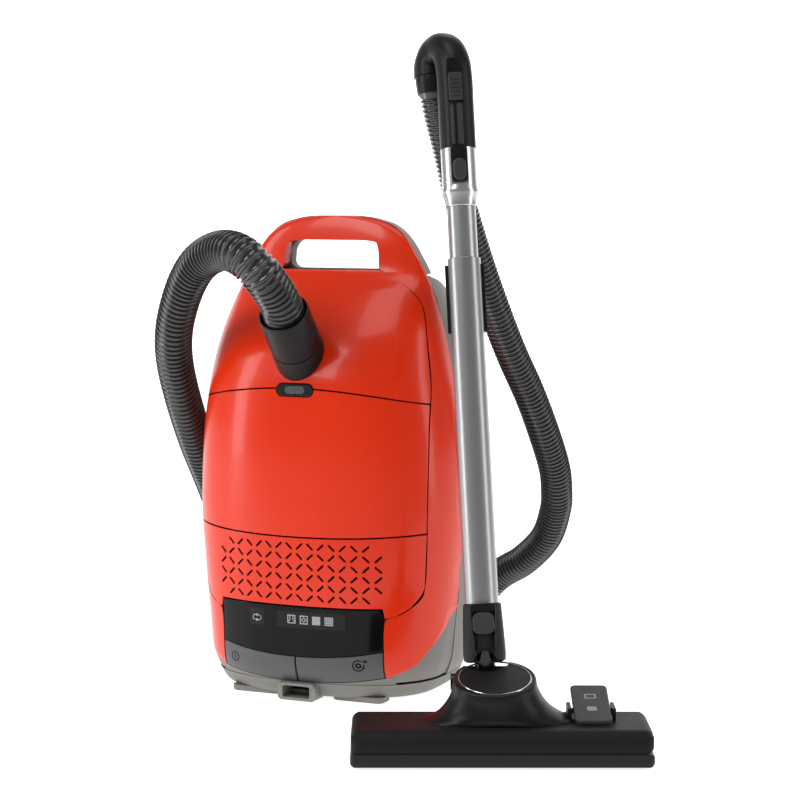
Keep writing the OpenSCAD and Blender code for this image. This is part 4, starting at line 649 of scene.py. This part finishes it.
# foot switch
def zped(y): return 39.4+(y+62)*0.268
def ploop(ins, dz):
    return [(86+x, -30+y, zped(-30+y)+dz) for x, y in rrect(35-2*ins, 71-2*ins, max(1, 5-ins), 6)]
piece("footswitch_plate", head(join([loft([ploop(1, -3.4), ploop(0, -2.6), ploop(0, -0.6), ploop(0.4, 0.1), ploop(1.4, 0.5)]), boxm((74, -36, 37.5), (98, -24, 46)), xcyl(64, 108, -30, 41, 2.5, 28)])), PEDM, "pedal", "footswitch", bevel=0)
def pq(w, h, cy, dz, r=1.2): return [(86+x, cy+y, zped(cy+y)+dz) for x, y in rrect(w, h, r, 3)]
sq = [loft([pq(9, 8, -42, 0.3), pq(9, 8, -42, 0.75)])]
oo, ii = [pq(11, 9, -18, 0.3), pq(11, 9, -18, 0.75)], [pq(8, 6, -18, 0.75), pq(8, 6, -18, 0.3)]
rv, rf = loft([oo[0], oo[1], ii[0], ii[1]], False, False); nq = len(oo[0]); rf += [(k, (k+1) % nq, 3*nq+(k+1) % nq, 3*nq+k) for k in range(nq)]
piece("footswitch_signs", head(join([sq[0], (rv, rf)])), SOFTG2, "pedal", ["footswitch"], bevel=0)

# ------------------------------------------------------------------ materials and softened edges of the remaining nodes
def smoother():
    g = bpy.data.node_groups.new("soften", "GeometryNodeTree")
    g.interface.new_socket("Geometry", in_out="INPUT", socket_type="NodeSocketGeometry"); g.interface.new_socket("Geometry", in_out="OUTPUT", socket_type="NodeSocketGeometry")
    a, z = g.nodes.new("NodeGroupInput"), g.nodes.new("NodeGroupOutput")
    rm = g.nodes.new("GeometryNodeRemoveAttribute"); rm.inputs["Name"].default_value = "custom_normal"
    mg = g.nodes.new("GeometryNodeMergeByDistance"); mg.inputs["Distance"].default_value = 1e-6
    s1 = g.nodes.new("GeometryNodeSetShadeSmooth"); s1.domain = "FACE"
    s2 = g.nodes.new("GeometryNodeSetShadeSmooth"); s2.domain = "EDGE"; s2.inputs["Shade Smooth"].default_value = False
    an = g.nodes.new("GeometryNodeInputMeshEdgeAngle"); cp = g.nodes.new("FunctionNodeCompare"); cp.operation = "GREATER_THAN"; cp.inputs[1].default_value = rad(34)
    L = g.links
    L.new(a.outputs[0], rm.inputs["Geometry"]); L.new(rm.outputs[0], mg.inputs["Geometry"]); L.new(mg.outputs[0], s1.inputs["Geometry"]); L.new(s1.outputs[0], s2.inputs["Geometry"])
    L.new(an.outputs[0], cp.inputs[0]); L.new(cp.outputs[0], s2.inputs["Selection"]); L.new(s2.outputs[0], z.inputs[0])
    return g
SOFT = smoother()
CADM = {"compartment_floor": (DARKP, 0.3), "pre_motor_filter": (FELT, 0.4), "bag_holder": (BLUEP, 0.5), "dust_bag": (BAGM, 2.0), "accessory_tray": (MIDP, 0.4), "crevice_tool": (BLACKM, 0.6), "upholstery_nozzle": (BLACKM, 0.8), "dusting_brush": (BLACKM, 0.4),
        "motor_housing": (MIDP, 0.8), "motor_rotor": (ALU, 0.2), "cable_drum": (DARKP, 0.5), "exhaust_filter": (FELT, 0.3), "control_board": (GREENP, 0.2), "cord_outlet": (BLACKM, 0.4), "housing_screws": (ALU, 0.15), "indicator_flag": (REDP, 0.2), "lid_latch": (BLACKM, 0.4),
        "connector_button_left": (BLACKM, 0.5), "connector_button_right": (BLACKM, 0.5), "elbow_socket": (BLACKM, 0.4), "lower_tube": (STEEL, 0.3), "tube_slider_housing": (BLACK, 0.6), "tube_slider": (SOFTG, 0.5), "upper_tube": (STEELD, 0.2), "neck_swivel": (BLACKG, 0.8), "brush_strips": (BRISTLE, 0.15), "floor_rollers": (RUBBER, 0.4)}
for w in ("top", "left", "right"): CADM["caster_fork_"+w] = (MIDP, 0.5); CADM["caster_wheel_"+w] = (RUBBER, 0.6)
for n, o in NODES.items():
    if n in CADM and not o.hide_render:
        m, bw = CADM[n]; o.data.materials.clear(); o.data.materials.append(m)
        gm = o.modifiers.new("soften", "NODES"); gm.node_group = SOFT
        bv_ = o.modifiers.new("edges", "BEVEL"); bv_.limit_method = "ANGLE"; bv_.angle_limit = rad(38); bv_.width = bw*MM; bv_.segments = 2; bv_.use_clamp_overlap = True
        wn_ = o.modifiers.new("wn", "WEIGHTED_NORMAL"); wn_.keep_sharp = True
